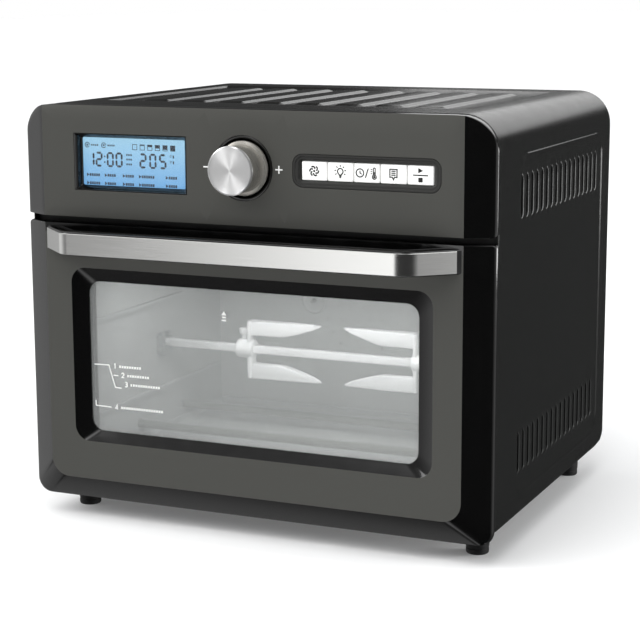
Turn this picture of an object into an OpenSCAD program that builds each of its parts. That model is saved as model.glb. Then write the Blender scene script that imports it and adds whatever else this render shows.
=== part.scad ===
// Counter-top digital toaster oven with a bottom-hinged glass door and a rotisserie.
// +Z up, front face towards -Y, origin under the middle of the whole oven at foot level.

/* [Cabinet] */
// Outer width of the cabinet
oven_w = 390; // [370:1:410]
// Height from the feet's soles to the top cover
oven_h = 333; // [325:1:345]
// Depth from the front face to the back of the cover
cabinet_d = 315; // [305:1:330]
// Height of the cover's lower edge above the table
base_z = 26.5; // [24:0.5:28]
// Radius of the cabinet's two top corners
corner_r = 27.5; // [20:0.5:30]
// Thickness of the sheet steel
sheet = 1; // [0.8:0.1:1.5]
// Radius of each foot
foot_r = 9.1; // [8:0.1:11]
// Distance of the feet from the cabinet's centre plane
foot_x = 169.7; // [150:0.1:172]

/* [Cover louvres] */
// Number of ridges pressed into the top
ridge_count = 8; // [4:1:8]
// Spacing of the ridges
ridge_pitch = 33.5; // [30:0.5:34]
// Depth of the field that the ridges stand in
field_depth = 3.5; // [2:0.5:5]
// Number of slots in each side row
slot_count = 17; // [8:1:17]
// Spacing of the side slots
slot_pitch = 12.45; // [10:0.05:12.5]
// Height of one side slot
slot_h = 33; // [20:1:36]

/* [Control panel] */
// Height of the panel's lower edge
panel_z = 246.5; // [244:0.5:250]
// Height of the display, dial and key row
control_z = 289.5; // [286:0.5:292]
// Sideways place of the display's centre
display_x = -96.3; // [-100:0.1:-92]
// Sideways place of the key row's centre
keys_x = 98.5; // [95:0.1:102]
// Radius of the dial's metal cap
dial_r = 18.3; // [15:0.1:20]
// How far the dial stands out of the panel
dial_reach = 22; // [16:0.5:26]
// Width of one key with its gap
key_pitch = 20.7; // [18:0.1:21]
// Travel of a key
key_travel = 1.2; // [0.8:0.1:1.5]

/* [Door] */
// Height of the door's lower edge
door_bottom_z = 17.5; // [16:0.5:20]
// Height of the door's upper edge
door_top_z = 241; // [238:0.5:242]
// Width of the sloping border beside the flat face
bevel_w = 21.5; // [16:0.5:24]
// Width of the window's clear glass
window_w = 276.5; // [250:0.5:280]
// Height of the window's clear glass
window_h = 120; // [100:1:124]
// Height of the window's centre
window_z = 135.6; // [130:0.1:140]
// How far the handle stands out of the door
handle_reach = 30; // [24:1:34]
// Height of the handle's steel strip
strip_h = 16.2; // [12:0.1:18]
// Height of the strip's centre
strip_z = 229.2; // [226:0.1:230]

/* [Oven cavity] */
// Clear width between the side walls
cavity_w = 310; // [290:1:316]
// Height of the floor's upper surface
cavity_floor_z = 42; // [40:0.5:46]
// Height of the ceiling's lower surface
cavity_top_z = 236; // [226:1:238]
// Distance of the rear wall behind the front face
cavity_back = 262; // [250:1:264]
// Distance of the spit behind the front face
spit_y = 150; // [130:1:160]
// Height of the spit
spit_z = 119.5; // [110:0.5:140]
// Radius of the convection fan
fan_r = 62; // [50:1:66]

/* [Hidden] */
$fn = 48;

half_w = oven_w / 2;
face_y = handle_reach - (cabinet_d + handle_reach) / 2;
back_y = face_y + cabinet_d;
flat_half = half_w - bevel_w;
bevel_d = 9.8;
moulding_d = 15;
cover_y = face_y + 16;
cover_d = cabinet_d - 16;
side_half = half_w - 0.8;
cavity_half = cavity_w / 2;
front_corner_r = 6;
rear_corner_r = 15;
hinge_y = face_y + 13;
hinge_z = 27;
bracket_x = 180;
arm_x = 174.5;
pin_r = 2;
fit_gap = 0.05;
strip_t = 1;
handle_bend_x = 141;
handle_end_x = 173.5;
handle_depth = 12;
facet_len = norm([handle_end_x - handle_bend_x, handle_reach]);
facet_u = [handle_end_x - handle_bend_x, handle_reach] / facet_len;
facet_n = [-facet_u[1], facet_u[0]];
bend_in_x = handle_bend_x - strip_t * (1 - facet_u[0]) / facet_u[1];
strip_end = [handle_bend_x, -handle_reach] + (facet_len - 5) * facet_u;
bar_end_x = handle_end_x - strip_t / facet_u[1];
post_x = 157;
switch_x = 174;
collar_y = 6;
display_w = 98;
display_h = 44;
lit_w = 90;
lit_h = 37;
key_row_w = 5 * key_pitch;
key_h = 13.7;
dish_r = 24.5;
fork_grip = 20.3;
fork_left_x = -68;
fork_right_x = 82;
screw_offset = 7;
screw_r = 1.9;
fan_z = (cavity_floor_z + cavity_top_z) / 2;
heater_r = 3.4;
heater_end_x = cavity_half + 8;
upper_heater_z = cavity_top_z - 10;
lower_heater_z = cavity_floor_z + 13;
foot_front_y = face_y + 49.9;
foot_rear_y = face_y + 290.5;
slot_first_y = face_y + 69.9;
slot_rows = [269.5, 75.5];
socket_x = cavity_half + 4;

// Flat outline in X and Z carried along Y, from y0 over the given length.
module along_y(y0, length) {
    translate([0, y0 + length, 0])
        rotate([90, 0, 0])
            linear_extrude(length)
                children();
}

// Flat outline in Y and Z carried along X, from x0 over the given length.
module along_x(x0, length) {
    translate([x0, 0, 0])
        rotate([90, 0, 90])
            linear_extrude(length)
                children();
}

// Round bar along X between two ends.
module bar_x(x0, x1, y, z, r) {
    translate([x0, y, z])
        rotate([0, 90, 0])
            cylinder(h = x1 - x0, r = r);
}

// Round bar along Y from y0 over the given length.
module bar_y(x, z, y0, length, r) {
    translate([x, y0 + length, z])
        rotate([90, 0, 0])
            cylinder(h = length, r = r);
}

// Box by its lowest corner and size, centred on X.
module block(x, y0, z0, size) {
    translate([x - size[0] / 2, y0, z0])
        cube(size);
}

// Rectangle with four round corners, centred.
module round_rect(w, h, r) {
    square([w - 2 * r, h], center = true);
    square([w, h - 2 * r], center = true);
    for (sx = [-1, 1], sz = [-1, 1])
        translate([sx * (w / 2 - r), sz * (h / 2 - r)])
            circle(r);
}

// Cabinet outline in X and Z: square at the foot, round at the two top corners.
module cabinet_outline(half, z0, z1, r) {
    translate([-half, z0])
        square([2 * half, z1 - z0 - r]);
    translate([-half + r, z0])
        square([2 * (half - r), z1 - z0]);
    for (side = [-1, 1])
        translate([side * (half - r), z1 - r])
            circle(r);
}

// Plan of a front moulding: flat face, sloping borders and rounded-off edges.
module moulding_plan(depth) {
    polygon([
        [-half_w, depth], [-half_w, bevel_d + 3.4], [-half_w + 0.7, bevel_d + 1.2],
        [-half_w + 2.4, bevel_d], [-flat_half, 0], [flat_half, 0], [half_w - 2.4, bevel_d],
        [half_w - 0.7, bevel_d + 1.2], [half_w, bevel_d + 3.4], [half_w, depth]
    ]);
}

// One side slot: an upright stadium cut through both cover walls.
module side_slot(y, z) {
    along_x(-half_w - 1, oven_w + 2)
        translate([y, z])
            round_rect(4.4, slot_h, 2.19);
}

// Side outline of the cover in Y and Z, round at its two lower corners.
module cover_side() {
    y1 = cover_y + front_corner_r;
    y2 = back_y - rear_corner_r;
    translate([cover_y, base_z + rear_corner_r])
        square([cover_d, oven_h]);
    translate([cover_y, base_z + front_corner_r])
        square([front_corner_r + 1, 2 * rear_corner_r]);
    translate([y1, base_z])
        square([y2 - y1, 2 * rear_corner_r]);
    translate([y1, base_z + front_corner_r])
        circle(front_corner_r);
    translate([y2, base_z + rear_corner_r])
        circle(rear_corner_r);
}

// Outer cover: one sheet bent over the sides and top, with pressed ridges and slots.
module wrap_cover() {
    field_w = 2 * (half_w - corner_r) - 34;
    field_y = face_y + 62;
    field_len = 212;
    color("#1c1c1c")
    difference() {
        union() {
            difference() {
                intersection() {
                    along_y(cover_y, cover_d)
                        cabinet_outline(side_half, base_z, oven_h, corner_r);
                    along_x(-half_w, oven_w)
                        cover_side();
                }
                along_y(cover_y - 1, cover_d + 2)
                    cabinet_outline(side_half - sheet, base_z - 1, oven_h - sheet, corner_r - sheet);
                block(0, field_y, oven_h - field_depth, [field_w, field_len, field_depth + 1]);
            }
            block(0, field_y - sheet, oven_h - field_depth - sheet,
                [field_w + 2 * sheet, field_len + 2 * sheet, sheet]);
            for (side = [-1, 1])
                block(side * (field_w + sheet) / 2, field_y - sheet, oven_h - field_depth - sheet,
                    [sheet, field_len + 2 * sheet, field_depth]);
            for (end = [field_y - sheet, field_y + field_len])
                block(0, end, oven_h - field_depth - sheet, [field_w, sheet, field_depth]);
            for (i = [0:ridge_count - 1])
                translate([(i - (ridge_count - 1) / 2) * ridge_pitch, 0, oven_h - field_depth])
                    along_y(face_y + 76, 184)
                        polygon([[-14.7, -0.2], [14.7, -0.2], [5.7, field_depth], [-5.7, field_depth]]);
        }
        for (i = [0:slot_count - 1], z = slot_rows)
            side_slot(slot_first_y + i * slot_pitch, z);
    }
}

// Base pan: folded tray that ties the cover's sides together and carries the feet.
module base_pan() {
    pan_w = 2 * (side_half - sheet) - 0.6;
    pan_y = face_y + 23;
    pan_d = cabinet_d - rear_corner_r - 23;
    color("#2a2a2a")
    difference() {
        block(0, pan_y, base_z, [pan_w, pan_d, 12]);
        block(0, pan_y + sheet, base_z + sheet, [pan_w - 2 * sheet, pan_d - 2 * sheet, 12]);
        for (side = [-1, 1], y = [foot_front_y, foot_rear_y])
            translate([side * foot_x, y, base_z - 1])
                cylinder(h = 4, r = 2.05);
        for (side = [-1, 1])
            block(side * bracket_x, pan_y - 1, base_z + sheet, [3.6, 3, 5]);
        for (i = [-4:4], j = [0:2])
            translate([i * 30, face_y + 90 + j * 60, base_z - 1])
                linear_extrude(4)
                    round_rect(18, 4, 1.9);
    }
}

// Back panel: sheet with a lower flange, two groups of cooling slots and the inlet hole.
module back_panel() {
    lower_z = base_z + 12.5;
    color("#242424")
    difference() {
        union() {
            along_y(back_y - 3, sheet)
                cabinet_outline(side_half - sheet - 0.3, lower_z, oven_h - sheet - 0.3,
                    corner_r - sheet - 0.3);
            block(0, back_y - rear_corner_r - 8, lower_z, [2 * (side_half - sheet) - 8, 20, sheet]);
        }
        for (i = [-6:6], z = [292, 78])
            along_y(back_y - 4, 3)
                translate([i * 13, z])
                    round_rect(5, 34, 2.4);
        bar_y(-150, 62, back_y - 5, 5, 8);
    }
}

// Control panel moulding, open at the back, with its three front openings.
module front_fascia() {
    color("#50504c")
    difference() {
        intersection() {
            along_y(face_y, moulding_d)
                cabinet_outline(half_w, panel_z, oven_h, corner_r);
            translate([0, face_y, panel_z - 1])
                linear_extrude(oven_h)
                    moulding_plan(moulding_d);
        }
        block(0, face_y + 3, panel_z + 3, [2 * flat_half - 2, 20, oven_h - panel_z - 6.5]);
        block(0, face_y + 12.6, panel_z + 3, [oven_w - 12, 20, oven_h - panel_z - 17]);
        block(display_x, face_y - 1, control_z - display_h / 2, [display_w, 10, display_h]);
        bar_y(0, control_z, face_y - 1, 10, dish_r);
        along_y(face_y - 1, 10)
            translate([keys_x, control_z])
                round_rect(116, 24.8, 8);
    }
}

// Sloping frame round the display.
module display_bezel() {
    color("#0c0c0c")
    difference() {
        block(display_x, face_y, control_z - display_h / 2, [display_w, 7, display_h]);
        block(display_x, face_y - 1, control_z - lit_h / 2, [lit_w, 9, lit_h]);
        block(display_x, face_y - 1, control_z - lit_h / 2 - 1.5, [lit_w + 3, 3, lit_h + 3]);
    }
}

// Clear window over the display.
module display_lens() {
    color("#9fd0f5", 0.4)
        block(display_x, face_y + 7, control_z - display_h / 2, [display_w, 1.2, display_h]);
}

// Liquid crystal panel with its backlight behind.
module display_module() {
    color("#7ab8ee")
        block(display_x, face_y + 8.2, control_z - 21, [94, 5, 42]);
}

// Printed board that carries the display, encoder and key switches.
module control_board() {
    color("#1f5c34")
    difference() {
        block(0, face_y + 18, control_z - 24, [310, 1.6, 50]);
        for (x = [-148, 148], z = [-19, 21])
            bar_y(x, control_z + z, face_y + 17, 4, 1.7);
    }
    color("#7a5a2a")
        block(display_x, face_y + 13.2, control_z - 20, [94, 4.8, 40]);
}

// Mains board with its relays, capacitor and transformer.
module power_board() {
    color("#c8b070")
        block(-80, face_y + 190, 258, [110, 80, 1.6]);
    color("#2255aa")
        for (i = [0:2])
            block(-110 + i * 26, face_y + 200, 259.6, [18, 22, 15]);
    color("#222222")
        translate([-55, face_y + 250, 259.6])
            cylinder(h = 22, r = 7);
    color("#b08020")
        block(-102, face_y + 236, 259.6, [32, 26, 26]);
    color("#dddddd")
        for (i = [-1, 1])
            translate([-80 + i * 48, face_y + 194, cavity_top_z + sheet])
                cylinder(h = 258 - cavity_top_z - sheet, r = 3);
}

// Rotary encoder's body behind the dial.
module encoder() {
    color("#9a9a9a")
    difference() {
        block(0, face_y + 10, control_z - 7, [14, 8, 14]);
        bar_y(0, control_z, face_y + 9, 10, 3 + fit_gap);
    }
}

// Fixed dish set into the panel round the dial.
module dial_ring() {
    color("#161616")
    difference() {
        bar_y(0, control_z, face_y, 5, dish_r);
        bar_y(0, control_z, face_y - 1, 3.5, dish_r - 2.4);
        bar_y(0, control_z, face_y - 1, 8, 4);
    }
}

// Spun metal face of the dial.
module dial_cap() {
    color("#d8d8d8")
        bar_y(0, control_z, face_y - dial_reach, 2, dial_r);
}

// Grooved skirt of the dial, hollow at the back.
module dial_body() {
    color("#8a867c")
    difference() {
        union() {
            bar_y(0, control_z, face_y - dial_reach + 2, 19.2, dial_r - 0.8);
            bar_y(0, control_z, face_y - 1.4, 2.4, dial_r + 2.2);
        }
        bar_y(0, control_z, face_y - dial_reach + 2, 8, 3);
        difference() {
            bar_y(0, control_z, face_y - 12, 14, dial_r - 4);
            bar_y(0, control_z, face_y - 13, 14.5, 6);
        }
        bar_y(0, control_z, face_y - 13, 15, 3);
    }
}

// Shaft from the encoder into the dial.
module encoder_shaft() {
    color("#c8c8c8")
        bar_y(0, control_z, face_y - dial_reach + 2, dial_reach + 14, 3);
}

// Rounded frame round the key row, with a sloping inner edge.
module key_bezel() {
    color("#3c3c3a")
    difference() {
        along_y(face_y, 4)
            translate([keys_x, control_z])
                round_rect(116 - 2 * fit_gap, 24.8 - 2 * fit_gap, 8);
        along_y(face_y - 1, 1.8)
            translate([keys_x, control_z])
                round_rect(112, 20.8, 6.4);
        block(keys_x, face_y - 1, control_z - key_h / 2 - 0.3, [key_row_w + 0.6, 8, key_h + 0.6]);
    }
}

// One push key: a white cap on a stem that reaches its switch.
module key(i) {
    x = keys_x + (i - 2) * key_pitch;
    color("#f2f2f0")
        block(x, face_y + 2, control_z - key_h / 2, [key_pitch - 0.5, 4, key_h]);
    color("#d8d8d6")
        block(x, face_y + 6, control_z - 3, [6, 5.5, 6]);
}

module key_fan() { key(0); }
module key_lamp() { key(1); }
module key_time() { key(2); }
module key_menu() { key(3); }
module key_start() { key(4); }

// Five tactile switches on the control board.
module key_switches() {
    color("#303030")
    for (i = [0:4])
        block(keys_x + (i - 2) * key_pitch, face_y + 11.8 + key_travel, control_z - 3.5,
            [7, 6.2 - key_travel, 7]);
}

// Pressed steel frame round the oven's mouth, behind the door.
module face_frame() {
    color("#2b2b2b")
    difference() {
        block(0, face_y + 22, base_z + 4, [2 * (side_half - sheet) - 1, 1, panel_z - base_z + 9]);
        block(0, face_y + 20, cavity_floor_z, [cavity_w, 8, cavity_top_z - cavity_floor_z]);
        for (side = [-1, 1])
            block(side * bracket_x, face_y + 20, base_z, [7, 8, 28]);
        bar_y(switch_x, 222, face_y + 20, 6, 2.5);
    }
    color("#202020")
        block(0, face_y + 15.5, panel_z - 2, [oven_w - 14, 6.5, 2.4]);
}

// Oven cavity: floor, sides and ceiling of bright steel, open at the front and back.
module cavity_liner() {
    depth = cavity_back - 24;
    color("#b9bab8")
    difference() {
        block(0, face_y + 24, cavity_floor_z - sheet,
            [cavity_w + 2 * sheet, depth, cavity_top_z - cavity_floor_z + 2 * sheet]);
        block(0, face_y + 20, cavity_floor_z,
            [cavity_w, depth + 10, cavity_top_z - cavity_floor_z]);
        bar_x(cavity_half - 5, cavity_half + 5, face_y + spit_y, spit_z, 9);
        bar_x(cavity_half - 5, cavity_half + 5, face_y + 225, 190, 19);
        for (side = [-1, 1], y = [90, 150, 210])
            bar_x(side * (cavity_half + 0.5) - 3, side * (cavity_half + 0.5) + 3,
                face_y + y, upper_heater_z, 4.6);
        for (side = [-1, 1], y = [110, 190])
            bar_x(side * (cavity_half + 0.5) - 3, side * (cavity_half + 0.5) + 3,
                face_y + y, lower_heater_z, 4.6);
    }
}

// Rear wall with the fan's round grille pierced in rings.
module cavity_back_wall() {
    color("#b4b5b3")
    difference() {
        block(0, face_y + cavity_back, cavity_floor_z - 6,
            [cavity_w + 12, sheet, cavity_top_z - cavity_floor_z + 12]);
        for (ring = [1:4], k = [0:6 * ring - 1])
            bar_y(ring * 12 * cos(60 * k / ring), fan_z + ring * 12 * sin(60 * k / ring),
                face_y + cavity_back - 1, 3, 3.2);
        bar_y(-90, 200, face_y + cavity_back - 1, 3, 2.6);
    }
}

// Rack supports: three pressed rails on each side wall.
module rack_rails() {
    color("#c6c7c5")
    for (side = [-1, 1], z = [78, 155, 185])
        block(side * (cavity_half - 2), face_y + 34, z, [4, z > 100 ? 150 : 218, 3]);
}

// Round drum that houses the fan behind the rear wall.
module fan_housing() {
    color("#a9aaa8")
    difference() {
        bar_y(0, fan_z, face_y + cavity_back + sheet, 25, fan_r + 12);
        bar_y(0, fan_z, face_y + cavity_back + sheet - 1, 25, fan_r + 11);
        bar_y(0, fan_z, face_y + cavity_back, 30, 5);
    }
}

// Fan wheel with straight blades on a hub, and its shaft.
module convection_fan() {
    color("#9c9d9b") {
        bar_y(0, fan_z, face_y + cavity_back + 18, 1, fan_r - 6);
        bar_y(0, fan_z, face_y + cavity_back + 8, 11, 9);
        for (k = [0:8])
            translate([0, 0, fan_z])
                rotate([0, k * 40, 0])
                    block(0, face_y + cavity_back + 6, 8, [1.2, 12.5, fan_r - 12]);
        bar_y(0, fan_z, face_y + cavity_back + 19, 12, 3);
    }
}

// Shaded-pole motor that drives the fan.
module fan_motor() {
    color("#6a6a6a")
    difference() {
        block(0, face_y + cavity_back + 27, fan_z - 28, [56, 18, 56]);
        bar_y(0, fan_z, face_y + cavity_back + 26, 6, 3.6);
    }
}

// One heating rod between the side walls, with its cold ends.
module heater_rod(y, z) {
    bar_x(-heater_end_x, heater_end_x, face_y + y, z, heater_r);
}

// Three rods under the ceiling.
module upper_heaters() {
    color("#8d8d8a")
    for (y = [90, 150, 210])
        heater_rod(y, upper_heater_z);
}

// Two rods above the floor.
module lower_heaters() {
    color("#8d8d8a")
    for (y = [110, 190])
        heater_rod(y, lower_heater_z);
}

// Ceramic sleeve outside one wall on the end of a rod.
module insulator(side, y, z) {
    x0 = side > 0 ? cavity_half + sheet : -cavity_half - sheet - 9;
    difference() {
        bar_x(x0, x0 + 9, face_y + y, z, 6);
        bar_x(x0 - 1, x0 + 10, face_y + y, z, heater_r + fit_gap);
    }
}

// Ceramic sleeves that hold all the rods in the walls.
module heater_insulators() {
    color("#e9e4d8")
    for (side = [-1, 1]) {
        for (y = [90, 150, 210])
            insulator(side, y, upper_heater_z);
        for (y = [110, 190])
            insulator(side, y, lower_heater_z);
    }
}

// Square spit with a round journal at the left and a square drive end at the right.
module spit_rod() {
    color("#d6d7d6") {
        block(0, face_y + spit_y - 3.2, spit_z - 3.2, [2 * cavity_half - 16, 6.4, 6.4]);
        bar_x(-cavity_half + 1.5, -cavity_half + 8, face_y + spit_y, spit_z, 3);
        block(cavity_half - 3, face_y + spit_y - 3.2, spit_z - 3.2, [10, 6.4, 6.4]);
    }
}

// Meat fork: a hub clamped on the spit and two pairs of flat pointed prongs.
module fork(x, reach) {
    tip = reach * 64;
    color("#dfe1e0")
    difference() {
        union() {
            block(x, face_y + spit_y - 6, spit_z - fork_grip - 4.5, [4, 12, 2 * fork_grip + 9]);
            bar_x(x - (reach > 0 ? 12 : 3), x + (reach > 0 ? 3 : 12), face_y + spit_y, spit_z, 8);
            for (side = [-1, 1])
                translate([0, 0, spit_z + side * fork_grip])
                    along_y(face_y + spit_y - 5, 10)
                        polygon([[x, -4.5], [x + tip / 2, -4.5], [x + tip, 0], [x + tip / 2, 2.5],
                            [x, 2.5]]);
        }
        block(x, face_y + spit_y - 3.2, spit_z - 3.2, [30, 6.4, 6.4]);
        translate([x - reach * screw_offset, face_y + spit_y, spit_z])
            cylinder(h = 9, r = screw_r + fit_gap);
    }
}

module fork_left() { fork(fork_left_x, 1); }
module fork_right() { fork(fork_right_x, -1); }

// Thumbscrews that lock the forks to the spit.
module fork_screws() {
    color("#c9cac9")
    for (x = [fork_left_x - screw_offset, fork_right_x + screw_offset])
        translate([x, face_y + spit_y, spit_z]) {
            translate([0, 0, 3.3])
                cylinder(h = 9.3, r = screw_r);
            translate([0, 0, 12.6])
                cylinder(h = 5, r = 4);
        }
}

// Drive socket on the motor's output shaft.
module spit_socket() {
    color("#8f8f8c")
    difference() {
        bar_x(cavity_half - 3, socket_x + 7, face_y + spit_y, spit_z, 7);
        block(cavity_half - 3, face_y + spit_y - 3.2, spit_z - 3.2, [20, 6.4, 6.4]);
    }
}

// Geared motor outside the right wall, with a hollow for the socket.
module rotisserie_motor() {
    color("#707272")
    difference() {
        block(socket_x + 13, face_y + spit_y - 22, spit_z - 22, [22, 44, 44]);
        bar_x(socket_x + 1, socket_x + 8, face_y + spit_y, spit_z, 8);
    }
}

// Bracket on the left wall with an open notch for the spit's journal.
module spit_bracket() {
    color("#b9bab8")
    difference() {
        block(-cavity_half + 3.5, face_y + spit_y - 9, spit_z - 12, [4, 18, 20]);
        bar_x(-cavity_half, -cavity_half + 8, face_y + spit_y, spit_z, 3 + fit_gap);
        block(-cavity_half + 3.5, face_y + spit_y - 3.05, spit_z, [6, 6.1, 12]);
    }
    color("#b9bab8")
        block(-cavity_half + 0.75, face_y + spit_y - 9, spit_z - 12, [1.5, 18, 20]);
}

// Crumb tray on the floor, with a folded front grip.
module crumb_tray() {
    color("#c2c3c1")
    difference() {
        block(0, face_y + 30, cavity_floor_z + 0.2, [cavity_w - 8, 226, 6]);
        block(0, face_y + 31, cavity_floor_z + 1, [cavity_w - 10, 224, 6]);
    }
}

// Lamp cup outside the right wall.
module lamp_holder() {
    color("#a5a6a4")
    difference() {
        bar_x(cavity_half + sheet, cavity_half + 28, face_y + 225, 190, 22);
        bar_x(cavity_half, cavity_half + 26.5, face_y + 225, 190, 18);
    }
}

// Halogen capsule in the lamp cup.
module lamp_bulb() {
    color("#ffe9b0", 0.7) {
        bar_x(cavity_half + 8, cavity_half + 20, face_y + 225, 190, 5);
        bar_x(cavity_half + 20, cavity_half + 26.5, face_y + 225, 190, 7);
    }
}

// Domed glass over the lamp, flush with the wall.
module lamp_glass() {
    color("#e8f0f0", 0.35)
        bar_x(cavity_half - 1.5, cavity_half + 2.5, face_y + 225, 190, 17.5);
}

// Thermistor that reaches through the rear wall.
module temperature_probe() {
    color("#a08a50") {
        bar_y(-90, 200, face_y + cavity_back - 22, 34, 2);
        bar_y(-90, 200, face_y + cavity_back + sheet, 3, 5);
    }
}

// One rubber-soled foot with the screw that holds it to the pan.
module foot(side, y) {
    color("#141414")
    translate([side * foot_x, y, 0]) {
        cylinder(h = base_z, r = foot_r);
        translate([0, 0, base_z])
            cylinder(h = 5, r = 2);
    }
}

module foot_front_left() { foot(-1, foot_front_y); }
module foot_front_right() { foot(1, foot_front_y); }
module foot_rear_left() { foot(-1, foot_rear_y); }
module foot_rear_right() { foot(1, foot_rear_y); }

// Bush in the back panel where the mains lead enters.
module inlet_gland() {
    color("#101010")
    difference() {
        union() {
            bar_y(-150, 62, back_y - 6, 4.5, 7.9);
            bar_y(-150, 62, back_y - 2, 1.8, 11);
            bar_y(-150, 62, back_y - 12, 9, 6.5);
        }
        bar_y(-150, 62, back_y - 13, 14, 3.6);
    }
}

// Screws round the back panel.
module rear_screws() {
    color("#3a3a3a")
    for (x = [-180, -60, 60, 180], z = [36, oven_h - 14])
        if (abs(x) < 100 || z < 100)
            bar_y(x, z, back_y - 2, 1.8, 3.4);
    color("#3a3a3a")
        for (x = [-186, 186], z = [120, 230])
            bar_y(x, z, back_y - 2, 1.8, 3.4);
}

// Switch that tells the controller when the door is shut.
module door_switch() {
    color("#22303a")
        block(switch_x, face_y + 23, 214, [8, 26, 16]);
    color("#cccccc")
        bar_y(switch_x, 222, face_y + 21.5, 1.5, 2);
}

// Tongues from the base that hold the hinge pins.
module hinge_brackets() {
    color("#8c8c8a")
    for (side = [-1, 1])
        difference() {
            union() {
                bar_x(side * bracket_x - 1.5, side * bracket_x + 1.5, hinge_y, hinge_z, 3.8);
                block(side * bracket_x, hinge_y, hinge_z - 1.9, [3, 8, 5.1]);
                block(side * bracket_x, hinge_y + 8, hinge_z + 0.5, [3, 4, 2.7]);
                block(side * bracket_x, face_y + 24.5, base_z + sheet, [3, 30, 24]);
            }
            bar_x(side * bracket_x - 3, side * bracket_x + 3, hinge_y, hinge_z, pin_r);
        }
}

// Fixed pins that the door's arms turn on.
module hinge_pins() {
    color("#d0d0d0")
    for (side = [-1, 1])
        bar_x(side * 177.5 - 5.5, side * 177.5 + 5.5, hinge_y, hinge_z, pin_r);
}

// Door arms with the bores that turn on the pins.
module hinge_arms() {
    color("#9a9a98")
    for (side = [-1, 1])
        difference() {
            union() {
                bar_x(side * arm_x - 1.5, side * arm_x + 1.5, hinge_y, hinge_z, 4.2);
                block(side * arm_x, hinge_y - 4, hinge_z, [3, 6, 34]);
            }
            bar_x(side * arm_x - 4, side * arm_x + 4, hinge_y, hinge_z, pin_r + fit_gap);
        }
}

// Room inside the door moulding for the glass, the panel and the hinges.
module door_hollow() {
    difference() {
        block(0, face_y + 3, 40, [2 * flat_half - 4, 20, door_top_z - 43]);
        along_y(face_y + 2, collar_y - 2)
            translate([0, window_z])
                round_rect(window_w + 27, window_h + 30, 12);
    }
    block(0, face_y + 8.6, hinge_z, [oven_w - 24, 20, door_top_z - hinge_z - 3]);
    block(0, face_y + 12.6, hinge_z + 6.5, [oven_w - 12, 20, door_top_z - hinge_z - 9.5]);
    bar_x(-184, 184, hinge_y, hinge_z, 4.9);
    block(0, hinge_y, hinge_z - 4.9, [368, 10, 8]);
    for (side = [-1, 1])
        block(side * bracket_x, hinge_y - 1.3, door_bottom_z - 1, [4.8, 10, 20]);
}

// Door moulding: sloping borders on three sides and a stepped frame round the window.
module door_frame() {
    door_h = door_top_z - door_bottom_z;
    slope_z = door_bottom_z + 1.4;
    color("#50504c")
    difference() {
        intersection() {
            translate([0, face_y, door_bottom_z - 1])
                linear_extrude(door_h + 1)
                    moulding_plan(moulding_d);
            along_x(-half_w, oven_w)
                translate([face_y, 0])
                    polygon([[0, door_top_z], [0, 36.4], [bevel_d, slope_z], [12.4, door_bottom_z],
                        [13.4, door_bottom_z], [moulding_d, door_bottom_z + 2.5],
                        [moulding_d, door_top_z]]);
            along_y(face_y, moulding_d)
                union() {
                    translate([0, door_bottom_z + 20])
                        round_rect(oven_w, 40, 12);
                    translate([-half_w, door_bottom_z + 20])
                        square([oven_w, door_h - 20]);
                }
        }
        door_hollow();
        along_y(face_y - 1, collar_y + 2)
            translate([0, window_z])
                round_rect(window_w, window_h, 10);
        along_y(face_y - 1, 3.6)
            translate([0, window_z + 1.5])
                round_rect(window_w + 14, window_h + 11, 11);
        for (side = [-1, 1])
            bar_y(side * post_x, strip_z, face_y - 1, 8, 2.1);
    }
}

// Outer pane behind the window frame.
module door_glass_outer() {
    color("#aab0b0", 0.35)
        along_y(face_y + collar_y, 3.2)
            translate([0, window_z])
                round_rect(window_w + 24, window_h + 24, 12);
}

// Inner pane held by the steel panel.
module door_glass_inner() {
    color("#aab0b0", 0.35)
        along_y(face_y + 13, 3)
            translate([0, window_z])
                round_rect(window_w + 6, window_h + 30, 8);
}

// Steel panel that closes the door's back.
module door_inner_panel() {
    color("#33322f")
    difference() {
        block(0, face_y + 15, hinge_z + 8, [366, 2.5, door_top_z - hinge_z - 12]);
        along_y(face_y + 14, 5)
            translate([0, window_z])
                round_rect(window_w + 2, window_h + 26, 8);
        along_y(face_y + 14, 2)
            translate([0, window_z])
                round_rect(window_w + 6, window_h + 30, 8);
        for (side = [-1, 1])
            block(side * bracket_x, face_y + 12, hinge_z, [7, 10, 14]);
    }
}

// Heat-proof gasket on the inner panel, pressed lightly to the face frame.
module door_seal() {
    color("#4a4a48")
    along_y(face_y + 17.5, 4.2)
        difference() {
            translate([0, 138])
                round_rect(336, 192, 14);
            translate([0, 138])
                round_rect(324, 180, 9);
        }
}

// Handle moulding: straight across the front, both ends turned back to the door, two posts.
module handle_bar() {
    color("#101010")
    translate([0, face_y, strip_z - strip_h / 2 - 1])
        linear_extrude(strip_h + 2.4)
            polygon([
                [-bar_end_x, 0], [-bend_in_x, strip_t - handle_reach],
                [bend_in_x, strip_t - handle_reach], [bar_end_x, 0], [bar_end_x - 17, 0],
                [handle_bend_x - 8, handle_depth - handle_reach],
                [8 - handle_bend_x, handle_depth - handle_reach], [17 - bar_end_x, 0]
            ]);
    color("#8f8f8f")
        for (side = [-1, 1])
            bar_y(side * post_x, strip_z, face_y - 3, 9, 2);
}

// Brushed steel strip wrapped over the handle's front and both turned-back ends.
module handle_strip() {
    end_in = strip_end + strip_t * facet_n;
    color("#c4c4c4")
    translate([0, face_y, strip_z - strip_h / 2])
        linear_extrude(strip_h)
            polygon([
                [-strip_end[0], strip_end[1]], [-handle_bend_x, -handle_reach],
                [handle_bend_x, -handle_reach], strip_end, end_in,
                [bend_in_x, strip_t - handle_reach], [-bend_in_x, strip_t - handle_reach],
                [-end_in[0], end_in[1]]
            ]);
}

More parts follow.
